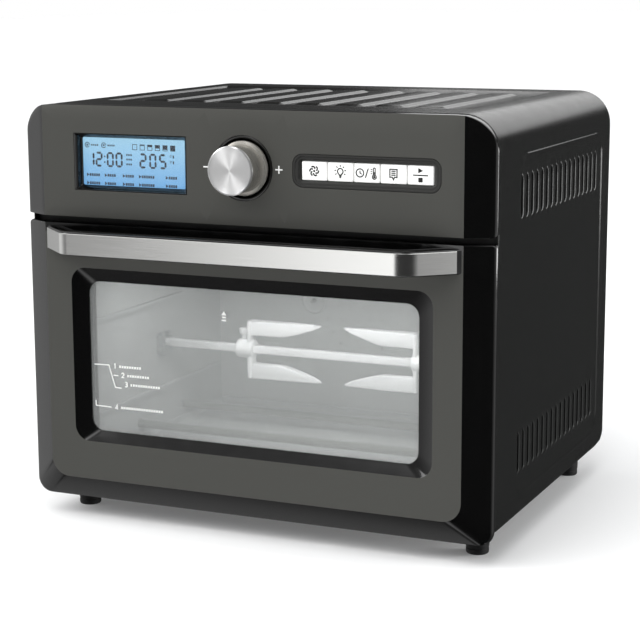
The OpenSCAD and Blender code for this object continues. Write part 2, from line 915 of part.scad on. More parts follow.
wrap_cover();
base_pan();
back_panel();
front_fascia();
display_bezel();
display_lens();
display_module();
control_board();
power_board();
encoder();
dial_ring();
dial_cap();
dial_body();
encoder_shaft();
key_bezel();
key_fan();
key_lamp();
key_time();
key_menu();
key_start();
key_switches();
face_frame();
cavity_liner();
cavity_back_wall();
rack_rails();
fan_housing();
convection_fan();
fan_motor();
upper_heaters();
lower_heaters();
heater_insulators();
spit_rod();
fork_left();
fork_right();
fork_screws();
spit_socket();
rotisserie_motor();
spit_bracket();
crumb_tray();
lamp_holder();
lamp_bulb();
lamp_glass();
temperature_probe();
foot_front_left();
foot_front_right();
foot_rear_left();
foot_rear_right();
inlet_gland();
rear_screws();
door_switch();
hinge_brackets();
hinge_pins();
hinge_arms();
door_frame();
door_glass_outer();
door_glass_inner();
door_inner_panel();
door_seal();
handle_bar();
handle_strip();
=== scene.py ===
"""Counter-top digital toaster oven with a bottom-hinged glass door and a rotisserie, in millimetres."""
import math
import bpy
import numpy as np
from mathutils import Matrix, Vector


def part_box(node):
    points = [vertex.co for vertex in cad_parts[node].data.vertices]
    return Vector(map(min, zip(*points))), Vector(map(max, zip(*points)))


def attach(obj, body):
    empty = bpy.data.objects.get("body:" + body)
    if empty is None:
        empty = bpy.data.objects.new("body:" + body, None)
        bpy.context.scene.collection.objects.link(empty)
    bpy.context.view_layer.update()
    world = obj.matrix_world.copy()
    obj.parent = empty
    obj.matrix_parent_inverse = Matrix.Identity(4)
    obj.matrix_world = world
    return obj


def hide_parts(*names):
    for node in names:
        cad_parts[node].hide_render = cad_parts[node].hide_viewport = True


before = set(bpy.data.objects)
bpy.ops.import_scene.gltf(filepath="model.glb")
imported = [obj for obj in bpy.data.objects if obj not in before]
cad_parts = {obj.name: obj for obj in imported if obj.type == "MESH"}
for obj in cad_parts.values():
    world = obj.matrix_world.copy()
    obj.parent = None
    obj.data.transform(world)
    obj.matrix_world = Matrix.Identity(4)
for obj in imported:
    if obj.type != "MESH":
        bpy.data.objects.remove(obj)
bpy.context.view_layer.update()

# Camera: a long lens at the height of a person's chest, a little to the right of the oven's front,
# level apart from a very slight roll. Nothing is shifted or out of focus.
yaw, pitch, roll = 0.4184, 0.1854, -0.004
forward = np.array([-math.sin(yaw) * math.cos(pitch), math.cos(yaw) * math.cos(pitch), -math.sin(pitch)])
level_right = np.array([math.cos(yaw), math.sin(yaw), 0])
level_up = np.cross(level_right, forward)
right = math.cos(roll) * level_right + math.sin(roll) * level_up
up = -math.sin(roll) * level_right + math.cos(roll) * level_up
pose = np.eye(4)
pose[:3, :3] = np.stack([right, up, -forward], 1)
pose[:3, 3] = (0.5919, -1.3339, 0.4242)
lens = bpy.data.cameras.new("camera")
lens.sensor_width = 36
lens.lens = 101.06
camera = bpy.data.objects.new("camera", lens)
camera.matrix_world = Matrix(pose.tolist())
bpy.context.scene.collection.objects.link(camera)
bpy.context.scene.camera = camera


# Studio: a white floor under a wide soft sun, and walls that reflect as pale cards with dark gaps between
# them. A strip at the right and soft boxes behind and at the left draw out the gloss edges.
def colour(code):
    """sRGB hex code to linear red, green, blue and alpha, by the sRGB curve."""
    parts = np.array([int(code[i:i + 2], 16) for i in (1, 3, 5)]) / 255
    linear = np.where(parts <= 0.04045, parts / 12.92, ((parts + 0.055) / 1.055) ** 2.4)
    return (*linear.tolist(), 1.0)


def add_node(tree, kind, inputs=None, **settings):
    """Adds one shader node with its settings; an input is a value, or another node's output to link."""
    node = tree.nodes.new("ShaderNode" + kind)
    for name, value in settings.items():
        setattr(node, name, value)
    for name, value in (inputs or {}).items():
        if isinstance(value, bpy.types.NodeSocket):
            tree.links.new(value, node.inputs[name])
        else:
            node.inputs[name].default_value = value
    return node


bpy.context.scene.view_settings.view_transform = "Standard"
world = bpy.data.worlds.new("studio")
world.use_nodes = True
bpy.context.scene.world = world
tree = world.node_tree
tree.nodes.clear()
direction = add_node(tree, "TexCoord")
parts = add_node(tree, "SeparateXYZ", {0: direction.outputs["Generated"]})
front = add_node(tree, "Math", {0: parts.outputs[1], 1: -1.0}, operation="MULTIPLY")
bearing = add_node(tree, "Math", {0: parts.outputs[0], 1: front.outputs[0]}, operation="ARCTAN2")
turn = add_node(tree, "MapRange", {0: bearing.outputs[0], 1: -math.pi, 2: math.pi})
cards = add_node(tree, "ValToRGB", {0: turn.outputs[0]})
# Bearing in degrees from the front, positive to the right, and the brightness there.
card_stops = [(-180, 0.03), (-150, 0.03), (-125, 0.16), (-95, 0.42), (-75, 0.36), (-52, 0.14), (-36, 0.12),
              (-32, 0.19), (-30, 0.26), (-27, 0.42), (-24, 0.62), (-21, 0.8), (-17, 0.95), (-12, 0.25),
              (-8, 0.02), (45, 0.02), (52, 0.07), (66, 0.22), (78, 0.5), (100, 0.6), (125, 0.2),
              (145, 0.03), (180, 0.03)]
stops = cards.color_ramp.elements
for degrees, level in card_stops[1:-1]:
    stops.new((degrees + 180) / 360)
for stop, (degrees, level) in zip(stops, card_stops):
    stop.position = (degrees + 180) / 360
    stop.color = (level, level, level, 1)
# The cards are dimmer towards the floor and brighter towards the ceiling.
lift = add_node(tree, "MapRange", {0: parts.outputs[2], 1: -0.8, 2: 0.8})
height = add_node(tree, "ValToRGB", {0: lift.outputs[0]})
for place, level in ((0.28, 0.5), (0.8, 0.5)):
    height.color_ramp.elements.new(place).color = (level, level, level, 1)
height.color_ramp.elements[0].color = (0.3, 0.3, 0.3, 1)
height.color_ramp.elements[3].color = (1, 1, 1, 1)
shaded = add_node(tree, "Mix", {0: 1.0, 6: cards.outputs[0], 7: height.outputs[0]}, data_type="RGBA",
                  blend_type="MULTIPLY")
ray = add_node(tree, "LightPath")
cards_light = add_node(tree, "Background", {"Color": shaded.outputs[2], "Strength": 4.0})
fill_light = add_node(tree, "Background", {"Color": colour("#f4f6f8"), "Strength": 0.42})
backdrop = add_node(tree, "Background", {"Color": colour("#ffffff"), "Strength": 1.0})
seen_in_gloss = add_node(tree, "MixShader", {0: ray.outputs["Is Glossy Ray"], 1: fill_light.outputs[0],
                                             2: cards_light.outputs[0]})
seen = add_node(tree, "MixShader", {0: ray.outputs["Is Camera Ray"], 1: seen_in_gloss.outputs[0],
                                    2: backdrop.outputs[0]})
add_node(tree, "OutputWorld", {0: seen.outputs[0]})

floor_mesh = bpy.data.meshes.new("floor")
floor_mesh.from_pydata([(-12, -8, 0), (12, -8, 0), (12, 24, 0), (-12, 24, 0)], [], [(0, 1, 2, 3)])
floor = bpy.data.objects.new("floor", floor_mesh)
bpy.context.scene.collection.objects.link(floor)
paper = bpy.data.materials.new("white_paper_sweep")
paper.use_nodes = True
paper_shader = paper.node_tree.nodes["Principled BSDF"]
paper_shader.inputs["Base Color"].default_value = colour("#f2f2f2")
paper_shader.inputs["Roughness"].default_value = 0.9
paper_shader.inputs["Specular IOR Level"].default_value = 0.1
paper_shader.inputs["Emission Color"].default_value = colour("#ffffff")
paper_shader.inputs["Emission Strength"].default_value = 0.12
floor_mesh.materials.append(paper)
floor.visible_glossy = False


def add_light(kind, name, place, aim, energy, **settings):
    """A lamp at a place in metres, turned to face the aim point."""
    light = bpy.data.lights.new(name, kind)
    light.energy = energy
    for key, value in settings.items():
        setattr(light, key, value)
    lamp = bpy.data.objects.new(name, light)
    away = np.array(place, float) - np.array(aim, float)
    away /= np.linalg.norm(away)
    side = np.cross((0, 0, 1), away)
    side /= np.linalg.norm(side)
    matrix = np.eye(4)
    matrix[:3, :3] = np.stack([side, np.cross(away, side), away], 1)
    matrix[:3, 3] = place
    lamp.matrix_world = Matrix(matrix.tolist())
    bpy.context.scene.collection.objects.link(lamp)
    return lamp


soft_sun = add_light("SUN", "soft_sun", (-0.5, -1.1, 1.9), (0, 0, 0), 2.7, angle=math.radians(70))
soft_sun.visible_glossy = False
add_light("AREA", "softbox_behind", (0.15, 2.6, 1.41), (0, 0, 0.3), 12, shape="RECTANGLE",
          size=2.4, size_y=1.15)
add_light("AREA", "strip_right", (1.66, 0.76, 0.47), (0.19, 0.1, 0.3), 18, shape="RECTANGLE",
          size=0.8, size_y=0.9)
add_light("AREA", "softbox_left", (-1.7, -1.1, 1.25), (0, -0.15, 0.25), 9, shape="RECTANGLE",
          size=0.9, size_y=0.9)


# Feet: four moulded rubber feet, each turned to a slight barrel with a groove above the sole, held by
# a screw through the base pan. Their soles stand on the table.
def box_mm(node):
    """A node's lowest and highest corners at rest, in millimetres."""
    low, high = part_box(node)
    return np.array(low) * 1000, np.array(high) * 1000


def middle_mm(node):
    """The middle of a node's box at rest, in millimetres."""
    low, high = box_mm(node)
    return (low + high) / 2


def grid_faces(rows, columns, wrap=False):
    """Quads of a grid of points numbered row by row, with each row joined round to its start if asked."""
    row = np.arange(rows - 1)[:, None] * columns
    here = np.arange(columns if wrap else columns - 1)[None, :]
    after = (here + 1) % columns
    return np.stack([row + here, row + after, row + columns + after, row + columns + here], -1)


def loft(rings, closed=False):
    """Skin over a stack of rings of equal point counts: quads between neighbours, and a flat face over
    either end, or the last ring joined back to the first. The sign of the enclosed volume, summed over
    fans of each face, says whether the faces point outwards, and they are turned if not."""
    count, around = rings.shape[:2]
    points = rings.reshape(-1, 3)
    quads = grid_faces(count + closed, around, wrap=True).reshape(-1, 4) % len(points)
    faces = quads.tolist()
    a, b, c, d = points[quads].transpose(1, 0, 2)
    volume = np.sum(a * (np.cross(b, c) + np.cross(c, d)))
    if not closed:
        for cap in (np.arange(around)[::-1], np.arange(around) + (count - 1) * around):
            faces.append(cap.tolist())
            fan = points[cap]
            volume += np.sum(fan[0] * np.cross(fan[1:-1], fan[2:]))
    if volume < 0:
        faces = [face[::-1] for face in faces]
    return points, faces


def merged(shells):
    """Several shells as one set of points and faces, each shell's face numbers moved past the last's."""
    starts = np.cumsum([0] + [len(points) for points, faces in shells])
    faces = [[corner + start for corner in face]
             for (points, own), start in zip(shells, starts.tolist()) for face in own]
    return np.concatenate([points for points, own in shells]), faces


def add_piece(name, shell, materials, body, replaces=(), sharp=32, face_material=None):
    """Makes the piece from a shell in millimetres, smooth except along edges sharper than the angle."""
    points, faces = shell
    mesh = bpy.data.meshes.new(name)
    mesh.from_pydata((np.asarray(points) / 1000).tolist(), [], faces)
    mesh.shade_smooth()
    mesh.set_sharp_from_angle(angle=math.radians(sharp))
    for material in materials:
        mesh.materials.append(material)
    if face_material is not None:
        mesh.polygons.foreach_set("material_index", np.asarray(face_material, np.int32))
    piece = bpy.data.objects.new(name, mesh)
    bpy.context.scene.collection.objects.link(piece)
    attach(piece, body)
    if replaces:
        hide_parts(*replaces)
    return piece


def laid(flat, along, axis):
    """Points of a flat outline set across an axis, at the given distance along it."""
    first, second = flat[..., 0], flat[..., 1]
    rest = np.full(first.shape, 0.0) + along
    order = {"x": (rest, first, second), "y": (first, rest, second), "z": (first, second, rest)}
    return np.stack(order[axis], -1)


def turned(profile, centre, axis, around=48, closed=False):
    """A turned solid, or a ring if its profile is closed: pairs of radius and distance along the axis,
    swept round the centre."""
    angles = np.linspace(0, 2 * np.pi, around, endpoint=False)
    circle = np.stack([np.cos(angles), np.sin(angles)], -1)
    rings = [laid(np.array(centre) + radius * circle, along, axis) for radius, along in profile]
    return loft(np.array(rings), closed)


def new_material(name, **sockets):
    """A material with one Principled shader; underscores in a socket's name stand for spaces."""
    material = bpy.data.materials.new(name)
    material.use_nodes = True
    shader = material.node_tree.nodes["Principled BSDF"]
    for socket, value in sockets.items():
        shader.inputs[socket.replace("_", " ")].default_value = value
    return material, material.node_tree, shader


def grained(name, size, height, roughness, shades=None, detail=3.0, stretch=(1, 1, 1), **sockets):
    """A material with grain of one size in millimetres: it raises a bump of the given height, spreads the
    roughness between two limits and the colour between two shades."""
    material, tree, shader = new_material(name, **sockets)
    place = add_node(tree, "TexCoord")
    scaled = add_node(tree, "Mapping", {"Vector": place.outputs["Object"], "Scale": stretch})
    noise = add_node(tree, "TexNoise", {"Vector": scaled.outputs[0], "Scale": 1000 / size, "Detail": detail})
    bump = add_node(tree, "Bump", {"Height": noise.outputs[0], "Distance": height / 1000, "Strength": 1.0})
    tree.links.new(bump.outputs[0], shader.inputs["Normal"])
    spread = add_node(tree, "MapRange", {0: noise.outputs[0], 1: 0.3, 2: 0.7, 3: roughness[0],
                                         4: roughness[1]})
    tree.links.new(spread.outputs[0], shader.inputs["Roughness"])
    if shades:
        mixed = add_node(tree, "Mix", {0: noise.outputs[0], 6: colour(shades[0]), 7: colour(shades[1])},
                         data_type="RGBA")
        tree.links.new(mixed.outputs[2], shader.inputs["Base Color"])
    return material


# Moulded nitrile rubber: near black and dull, with the fine bloom and texture of a spark-eroded mould.
foot_rubber = grained("moulded_black_rubber", 0.9, 0.05, roughness=(0.55, 0.75),
                      shades=("#0b0b0b", "#171717"), Specular_IOR_Level=0.35)

for foot in ("foot_front_left", "foot_front_right", "foot_rear_left", "foot_rear_right"):
    low, high = box_mm(foot)
    radius = (high[0] - low[0]) / 2
    pan_z = high[2] - 5
    profile = [(radius - 2.2, 0), (radius - 1.0, 0.1), (radius - 0.5, 0.6), (radius - 0.3, 1.6),
               (radius - 0.3, 4.0), (radius - 0.7, 4.4), (radius - 0.7, 5.0), (radius - 0.2, 5.4),
               (radius, 8.0), (radius, pan_z - 1), (radius - 0.4, pan_z - 0.2), (2.0, pan_z - 0.05),
               (2.0, high[2])]
    add_piece(foot + "_moulding", turned(profile, middle_mm(foot)[:2], "z"), [foot_rubber], "cabinet",
              [foot])


# Base pan, face frame and hinge parts: folded and pressed steel, zinc plated where it is hidden and
# painted black where it shows in the gap round the door.
def add_modifier(piece, kind, **settings):
    """Adds one modifier with its settings."""
    modifier = piece.modifiers.new(kind.lower(), kind)
    for name, value in settings.items():
        setattr(modifier, name, value)


def finish(material, *nodes, edge=0.0):
    """Gives CAD nodes a finish and, where edge is set, breaks their edges to that radius in mm."""
    for name in nodes:
        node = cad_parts[name]
        for material_slot in node.material_slots:
            material_slot.material = material
        if edge:
            add_modifier(node, "WELD", merge_threshold=0.00001)
            add_modifier(node, "BEVEL", width=edge / 1000, segments=2, limit_method="ANGLE",
                         angle_limit=math.radians(40))


# Bright chrome plate: a mirror with hairline marks.
bright_chrome = grained("bright_chrome_plate", 0.6, 0.002, roughness=(0.08, 0.15),
                        shades=("#e8e9ea", "#f6f6f6"), Metallic=1.0)
# Zinc-plated steel: bright bluish grey with the spangle of hot dip, a few millimetres across.
zinc_plate = grained("zinc_plated_steel", 4, 0.01, detail=2, roughness=(0.3, 0.5),
                     shades=("#9fa3a6", "#c3c6c8"), Metallic=1.0)
# Black stoved enamel on pressed steel: dull, with the fine orange peel of sprayed paint.
stoved_black = grained("stoved_black_enamel", 1.1, 0.02, roughness=(0.4, 0.55), shades=("#151515", "#1c1c1b"))
# Drawn steel pins, rods and tongues: bright, with fine drawing lines along the bar.
steel_pin = grained("drawn_bright_steel", 1.2, 0.004, stretch=(0.05, 1, 1), roughness=(0.22, 0.38),
                    shades=("#b9bcbd", "#d6d8d8"), Metallic=1.0)
finish(stoved_black, "base_pan", "face_frame", edge=0.3)
finish(zinc_plate, "hinge_brackets", "fan_housing", "fan_motor", "rotisserie_motor", "lamp_holder")
finish(steel_pin, "hinge_pins", "hinge_arms", "spit_socket", "spit_bracket", "temperature_probe")


# Oven cavity: a spot-welded box of bright aluminised steel with pressed rack rails, a crumb tray and
# a rear wall with the fan's grille. Rods in ceramic sleeves heat it from above and below.
# Aluminised steel: a pale, satin, slightly mottled metal with faint rolling lines along the sheet.
cavity_steel = grained("aluminised_steel_sheet", 2.5, 0.006, stretch=(0.25, 1, 1), roughness=(0.42, 0.55),
                       shades=("#a3a5a4", "#b0b2b1"), Metallic=0.25)
# Incoloy heater sheath: annealed to a greenish grey scale with darker blotches.
heater_sheath = grained("annealed_heater_sheath", 3, 0.02, roughness=(0.4, 0.6),
                        shades=("#8d8d89", "#9c9c98"), Metallic=0.8)
# Steatite sleeves: unglazed cream ceramic with a fine pressed grain.
steatite = grained("unglazed_steatite", 0.5, 0.02, roughness=(0.6, 0.8), shades=("#ded8c8", "#efeadd"))
finish(cavity_steel, "cavity_liner", "rack_rails")
finish(cavity_steel, "crumb_tray", edge=0.3)
finish(heater_sheath, "upper_heaters", "lower_heaters")
finish(steatite, "heater_insulators")
# Rolled hems along the front and rear lips of the crumb tray.
tray_low, tray_high = box_mm("crumb_tray")
hem_turn = [(0.5, tray_low[0] + 4), (0.9, tray_low[0] + 4.6), (0.9, tray_high[0] - 4.6),
            (0.5, tray_high[0] - 4)]
hems = [turned(hem_turn, (y, tray_high[2] + 0.5), "x", around=16)
        for y in (tray_low[1] + 0.6, tray_high[1] - 0.6)]
add_piece("crumb_tray_hems", merged(hems), [bright_chrome], "cabinet")
# Pressed aluminium fan wheel: pale metal, brushed by its tumbling.
pressed_aluminium = grained("pressed_aluminium", 1.5, 0.01, roughness=(0.3, 0.45),
                            shades=("#c3c4c4", "#dadbdb"), Metallic=1.0)
finish(pressed_aluminium, "convection_fan")
# Quartz and borosilicate glass of the oven lamp: clear, faintly warm, with soft moulding ripples.
lamp_glass = grained("moulded_lamp_glass", 3, 0.05, roughness=(0.05, 0.15), Alpha=0.35,
                     Base_Color=colour("#fff4dc"), Emission_Color=colour("#fff1d8"), Emission_Strength=0.6)
finish(lamp_glass, "lamp_bulb", "lamp_glass")
add_light("AREA", "oven_lamp", (0.02, -0.1, 0.215), (0.03, 0.03, 0.1), 0.8, shape="RECTANGLE", size=0.26,
          size_y=0.05).visible_glossy = False


# Spit and forks: a square bright steel spit through two cast hubs, each hub carrying a web plate and
# two flat pointed prongs, and locked by a knurled thumbscrew.
# Bright nickel plate: nearly white, satin, with the soft mottle of the plating.
nickel_plate = grained("satin_nickel_plate", 2, 0.006, roughness=(0.3, 0.42), shades=("#eef0f0", "#fbfcfc"),
                       Metallic=0.35)
spit_low, spit_high = box_mm("spit_rod")
spit_y, spit_z = (spit_low[1:] + spit_high[1:]) / 2
square = spit_high[2] - spit_low[2]


def round_rect(width, height, radius, per_corner=5):
    """Outline of a rectangle with four round corners: each corner's arc runs a quarter turn about its
    own centre, anticlockwise from the right."""
    turns = np.linspace(0, np.pi / 2, per_corner + 1)
    arcs = []
    for quarter, (x, z) in enumerate([(1, 1), (-1, 1), (-1, -1), (1, -1)]):
        angles = turns + quarter * np.pi / 2
        middle = np.array([x * (width / 2 - radius), z * (height / 2 - radius)])
        arcs.append(middle + radius * np.stack([np.cos(angles), np.sin(angles)], -1))
    return np.concatenate(arcs)


def stacked(sections, centre, axis, per_corner=5):
    """Rings along an axis that are round rectangles: width, height, radius and distance of each."""
    return np.array([laid(np.array(centre) + round_rect(width, height, radius, per_corner), along, axis)
                     for width, height, radius, along in sections])


rod_sections = [(4.6, 4.6, 2.28, spit_low[0]), (5.8, 5.8, 2.88, spit_low[0] + 0.8),
                (5.8, 5.8, 2.88, spit_low[0] + 6.2), (square, square, 0.7, spit_low[0] + 6.8),
                (square, square, 0.7, spit_high[0] - 1.2), (square - 1.2, square - 1.2, 0.6, spit_high[0])]
add_piece("spit", loft(stacked(rod_sections, (spit_y, spit_z), "x")), [nickel_plate], "spit",
          ["spit_rod"])

# Thickness, depth, corner radius and distance in from the end of a web plate's sections, and depth,
# height, corner radius and distance out from the root of a prong's.
web_end = [(2.2, 10.5, 1.0, 0), (3.6, 12, 1.6, 0.8), (4, 12, 1.6, 8.4)]
blade = [(8.2, 11.6, 0.9, 0), (9, 12.4, 0.9, 1.5), (9, 12.2, 0.9, 30), (8.6, 11.4, 0.9, 34),
         (6.6, 8.2, 0.8, 46), (4.2, 4.4, 0.7, 58), (1.8, 1.6, 0.5, 64)]
hub_turn = np.array([(5, -7.5), (7.4, -7.5), (8, -6.6), (8, 6.6), (7.4, 7.5), (5, 7.5)])
for fork, pointing in (("fork_left", 1), ("fork_right", -1)):
    low, high = box_mm(fork)
    root_x = high[0] - 64 if pointing > 0 else low[0] + 64
    web_reach = (high[2] - low[2]) / 2 - 0.1
    web = [(*size, spit_z - web_reach + inset) for *size, inset in web_end] + [(4, 11, 1.6, spit_z)]
    web += [(*size, spit_z + web_reach - inset) for *size, inset in web_end[::-1]]
    shells = [loft(stacked(web, (root_x, spit_y), "z")),
              turned(hub_turn + (0, root_x - 4.5 * pointing), (spit_y, spit_z), "x", around=32)]
    for side in (-1, 1):
        rings = [laid(np.array([spit_y, spit_z + side * (web_reach - height / 2)])
                      + round_rect(depth, height, radius, 3), root_x + pointing * reach, "x")
                 for depth, height, radius, reach in blade]
        shells.append(loft(np.array(rings)))
    add_piece(fork + "_cast", merged(shells), [nickel_plate], "spit", [fork])

screw_low, screw_high = box_mm("fork_screws")
head_z = screw_high[2]
angles = np.linspace(0, 2 * np.pi, 72, endpoint=False)
circle = np.stack([np.cos(angles), np.sin(angles)], -1)
knurl = 1 - 0.05 * (1 + np.cos(24 * angles))[:, None] / 2
# Radius and height of each ring, and whether it is knurled.
screw_turn = [(1.9, spit_z + 3.3, 0), (1.9, head_z - 5, 0), (3.4, head_z - 5, 1), (4, head_z - 4.4, 1),
              (4, head_z - 0.6, 1), (3.3, head_z, 1)]
shells = []
for x in (screw_low[0] + 4, screw_high[0] - 4):
    rings = [laid(np.array([x, spit_y]) + r * circle * (knurl if grooved else 1), z, "z")
             for r, z, grooved in screw_turn]
    shells.append(loft(np.array(rings)))
add_piece("fork_thumbscrews", merged(shells), [nickel_plate], "spit", ["fork_screws"])


# Rear wall: the sheet that closes the cavity, with a pressed disc round the screw that ties it to the
# drum behind, and rings of small holes that the fan blows through.
wall_low, wall_high = box_mm("cavity_back_wall")
wall_y = wall_low[1]
wall_sections = [(*(wall_high - wall_low)[::2], 3, y) for y in (wall_high[1], wall_y)]
wall_centre = (0, middle_mm("cavity_back_wall")[2])
boss = (-60, 143)
boss_turn = [(12.5, wall_y + 0.5), (12, wall_y), (11.2, wall_y - 0.9), (10.2, wall_y - 1.1),
             (9.4, wall_y - 0.6), (8.8, wall_y - 0.3), (4, wall_y - 0.3)]
screw_turn = [(3.2, wall_y - 0.2), (3.2, wall_y - 1.2), (2.6, wall_y - 2.1), (1.3, wall_y - 2.5)]
wall_shell = merged([loft(stacked(wall_sections, wall_centre, "y")), turned(boss_turn, boss, "y")])
add_piece("rear_wall", wall_shell, [cavity_steel], "cabinet", ["cavity_back_wall"])
add_piece("rear_wall_screw", turned(screw_turn, boss, "y", around=32), [bright_chrome], "cabinet")
# Each hole in the sheet is drawn as a flush disc of painted shade, for the dim drum behind it.
painted_hole_shade = grained("shadow_in_fan_holes", 1, 0.01, roughness=(0.8, 0.9), shades=("#5c5d5c", "#6a6b6a"))
fan_z = middle_mm("convection_fan")[2]
ring_gap = 12
holes = []
for ring in range(1, 5):
    for angle in math.tau * np.arange(6 * ring) / (6 * ring):
        centre = (ring_gap * ring * math.cos(angle), fan_z + ring_gap * ring * math.sin(angle))
        holes.append(turned([(1.1, wall_y + 0.2), (1.1, wall_y - 0.06)], centre, "y", around=10))
add_piece("fan_holes", merged(holes), [painted_hole_shade], "cabinet")


# Outer cover: one sheet of enamelled steel bent over both sides and the top. Ridges stand in a sunken
# field on the top, each side has two rows of pressed louvres inside a raised bead, and all the edges
# are rolled in. It is a grid of lines round the cabinet and lines from front to back.
cover_low, cover_high = box_mm("wrap_cover")
front_y, rear_y = cover_low[1], cover_high[1]
base_z, top_z = cover_low[2], cover_high[2]
half = min(-cover_low[0], cover_high[0])
face_y = box_mm("front_fascia")[0][1]
corner_r = 27.5


def smooth_step(x, low, high):
    """0 below low, 1 above high, and an S-shaped cubic between."""
    t = np.clip((x - low) / (high - low), 0, 1)
    return t * t * (3 - 2 * t)


def rolled_in(from_edge, radius):
    """How far a surface has turned in at a distance from its edge: a quarter circle, then nothing."""
    into = np.clip(radius - from_edge, 0, radius)
    return radius - np.sqrt(radius ** 2 - into ** 2)


louvre_z = np.array([269.5, 75.5])
louvre_half = 16.5
louvre_pitch = 12.45
louvre_y = face_y + 67.7 + louvre_pitch * np.arange(17)
bead = {"y": (face_y + 62, face_y + 288), "z": (42, 300), "radius": 17, "half_width": 1.5, "height": 0.78}

# Lines up one side, over a corner and across half the top.
louvre_lines = np.array([-18.6, -17.6, -16.7, -15.9, -14.6, -12.5, -6, 6, 12.5, 14.6, 15.9, 16.7, 17.6, 18.6])
bead_lines = np.array([-2.4, -1.5, -0.6, 0.4, 1.3, 2.2])
side_z = np.concatenate([[base_z, base_z + 0.25, base_z + 0.8, base_z + 1.8, base_z + 3.2, 32, 36],
                         42 + bead_lines, [47, 50, 53], louvre_z[1] + louvre_lines, [110, 150, 200, 240],
                         louvre_z[0] + louvre_lines, [291, 294], 300 + bead_lines])
corner_turns = np.linspace(0, np.pi / 2, 12)
ridge_x = 33.5 * (np.arange(8) - 3.5)
ridge_base, ridge_crest, ridge_depth = 12.2, 9.0, 1.7
ridge_lines = np.array([-12.9, -12.0, -11.3, -9.9, -9.2, -8.3, 0, 8.3, 9.2, 9.9, 11.3, 12.0, 12.9])
top_x = np.sort(np.concatenate([(ridge_x[:, None] + ridge_lines).ravel(), [-152.4, -151.6, -150.4, -149.4],
                                [149.4, 150.4, 151.6, 152.4], [-159, 159]]))
# One row for each line round the cabinet, with its x and z and its outward direction.
corner_out = np.stack([np.cos(corner_turns), np.sin(corner_turns)], -1)
right_corner = np.array([half, top_z]) - corner_r + corner_r * corner_out
right_side = np.stack([np.full(side_z.shape, half), side_z], -1)
over_top = np.stack([top_x[::-1], np.full(top_x.shape, top_z)], -1)
mirror = np.array([-1, 1])
outline = np.concatenate([right_side, right_corner, over_top, (right_corner * mirror)[::-1],
                          (right_side * mirror)[::-1]])
outward = np.concatenate([np.tile([1.0, 0.0], (len(side_z), 1)), corner_out,
                          np.tile([0.0, 1.0], (len(top_x), 1)), (corner_out * mirror)[::-1],
                          np.tile([-1.0, 0.0], (len(side_z), 1))])
# Lines from front to back: the rolled front edge, the bead, six to a louvre, and the rolled rear edge.
louvre_cut = np.array([-0.3, 0.2, 2.2, 2.25, 3.6, 4.6, 9.0])
ridge_y = (face_y + 76, face_y + 260)
field_y = (face_y + 62, face_y + 274)
depth_lines = np.concatenate([front_y + np.array([0, 0.12, 0.5, 1.2, 2.4, 5, 10]), bead["y"][0] + bead_lines,
                              [face_y + 60.6], (louvre_y[:, None] + louvre_cut).ravel(),
                              bead["y"][1] + bead_lines, [face_y + 282.5],
                              rear_y - np.array([0, 0.12, 0.5, 1.2, 2.4, 4.5, 8])])
on_side = np.abs(outward[:, :1]) > 0.99
over = np.abs(outward[:, 1:]) > 0.99


def from_row(z):
    """Distance up or down from the middle of the nearer row of louvres."""
    return np.min(np.abs(z[..., None] - louvre_z), -1)


def into_louvre(y):
    """Distance back from the slit of the louvre in front of y."""
    return (y - louvre_y[0]) % louvre_pitch


def louvres(y, z):
    """How far the louvres move the sheet at y and z: it drops steeply at the slit, then stands up in a
    short sloping lip and falls gently back along y; all of it draws in to nothing round the ends along z."""
    end = smooth_step(from_row(z), louvre_half + 0.6, louvre_half - 1.6)
    inside = (y > louvre_y[0] - 0.1) & (y < louvre_y[-1] + 10)
    along = np.interp(into_louvre(y), [0, 0.2, 2.2, 2.25, 3.6, 4.6, 9.0, 12.4],
                      [0, -1.8, -1.8, -0.15, 0.65, 0.65, 0, 0])
    return along * end * inside


def from_bead(y, z):
    """Distance from the bead's line, a rounded rectangle: positive outside it and negative inside."""
    spans = np.array([bead["y"], bead["z"]])
    middle, reach = spans.mean(axis=1), np.ptp(spans, axis=1) / 2 - bead["radius"]
    dy, dz = np.abs(y - middle[0]) - reach[0], np.abs(z - middle[1]) - reach[1]
    outside = np.hypot(np.maximum(dy, 0), np.maximum(dz, 0))
    return outside + np.minimum(np.maximum(dy, dz), 0) - bead["radius"]


def ridges(x, y):
    """Height of the top against its rim: the sunken field with its sloping walls, and in it the ridges,
    flat-topped across x and chamfered at their ends along y."""
    field = smooth_step(np.abs(x), 152.2, 149.6)
    field = field * smooth_step(y, field_y[0] - 1, field_y[0] + 1.6)
    field = field * smooth_step(y, field_y[1] + 1, field_y[1] - 1.6)
    from_crest = np.min(np.abs(x[..., None] - ridge_x), -1)
    across = np.clip((ridge_base - from_crest) / (ridge_base - ridge_crest), 0, 1)
    ends = np.clip(np.minimum(y - ridge_y[0], ridge_y[1] - y) / 7, 0, 1)
    return -ridge_depth * field * (1 - across * ends)


grid_x, grid_y = np.broadcast_arrays(outline[:, :1], np.unique(depth_lines.round(3))[None, :])
grid_z = np.broadcast_to(outline[:, 1:], grid_x.shape)
raised = bead["height"] * (1 - smooth_step(np.abs(from_bead(grid_y, grid_z)), 0.3, bead["half_width"]))
raised = raised * (0.12 + 0.88 * smooth_step(grid_y, bead["y"][0] + 2, bead["y"][0] + 8))
pressed = np.where(on_side, louvres(grid_y, grid_z) + raised, 0)
pressed = np.where(over, ridges(grid_x, grid_y), pressed)
rolled = rolled_in(np.minimum(grid_y - front_y, rear_y - grid_y), radius=1.2)
hem = rolled_in(grid_z - base_z, radius=1.8) * on_side
push = pressed - rolled - hem
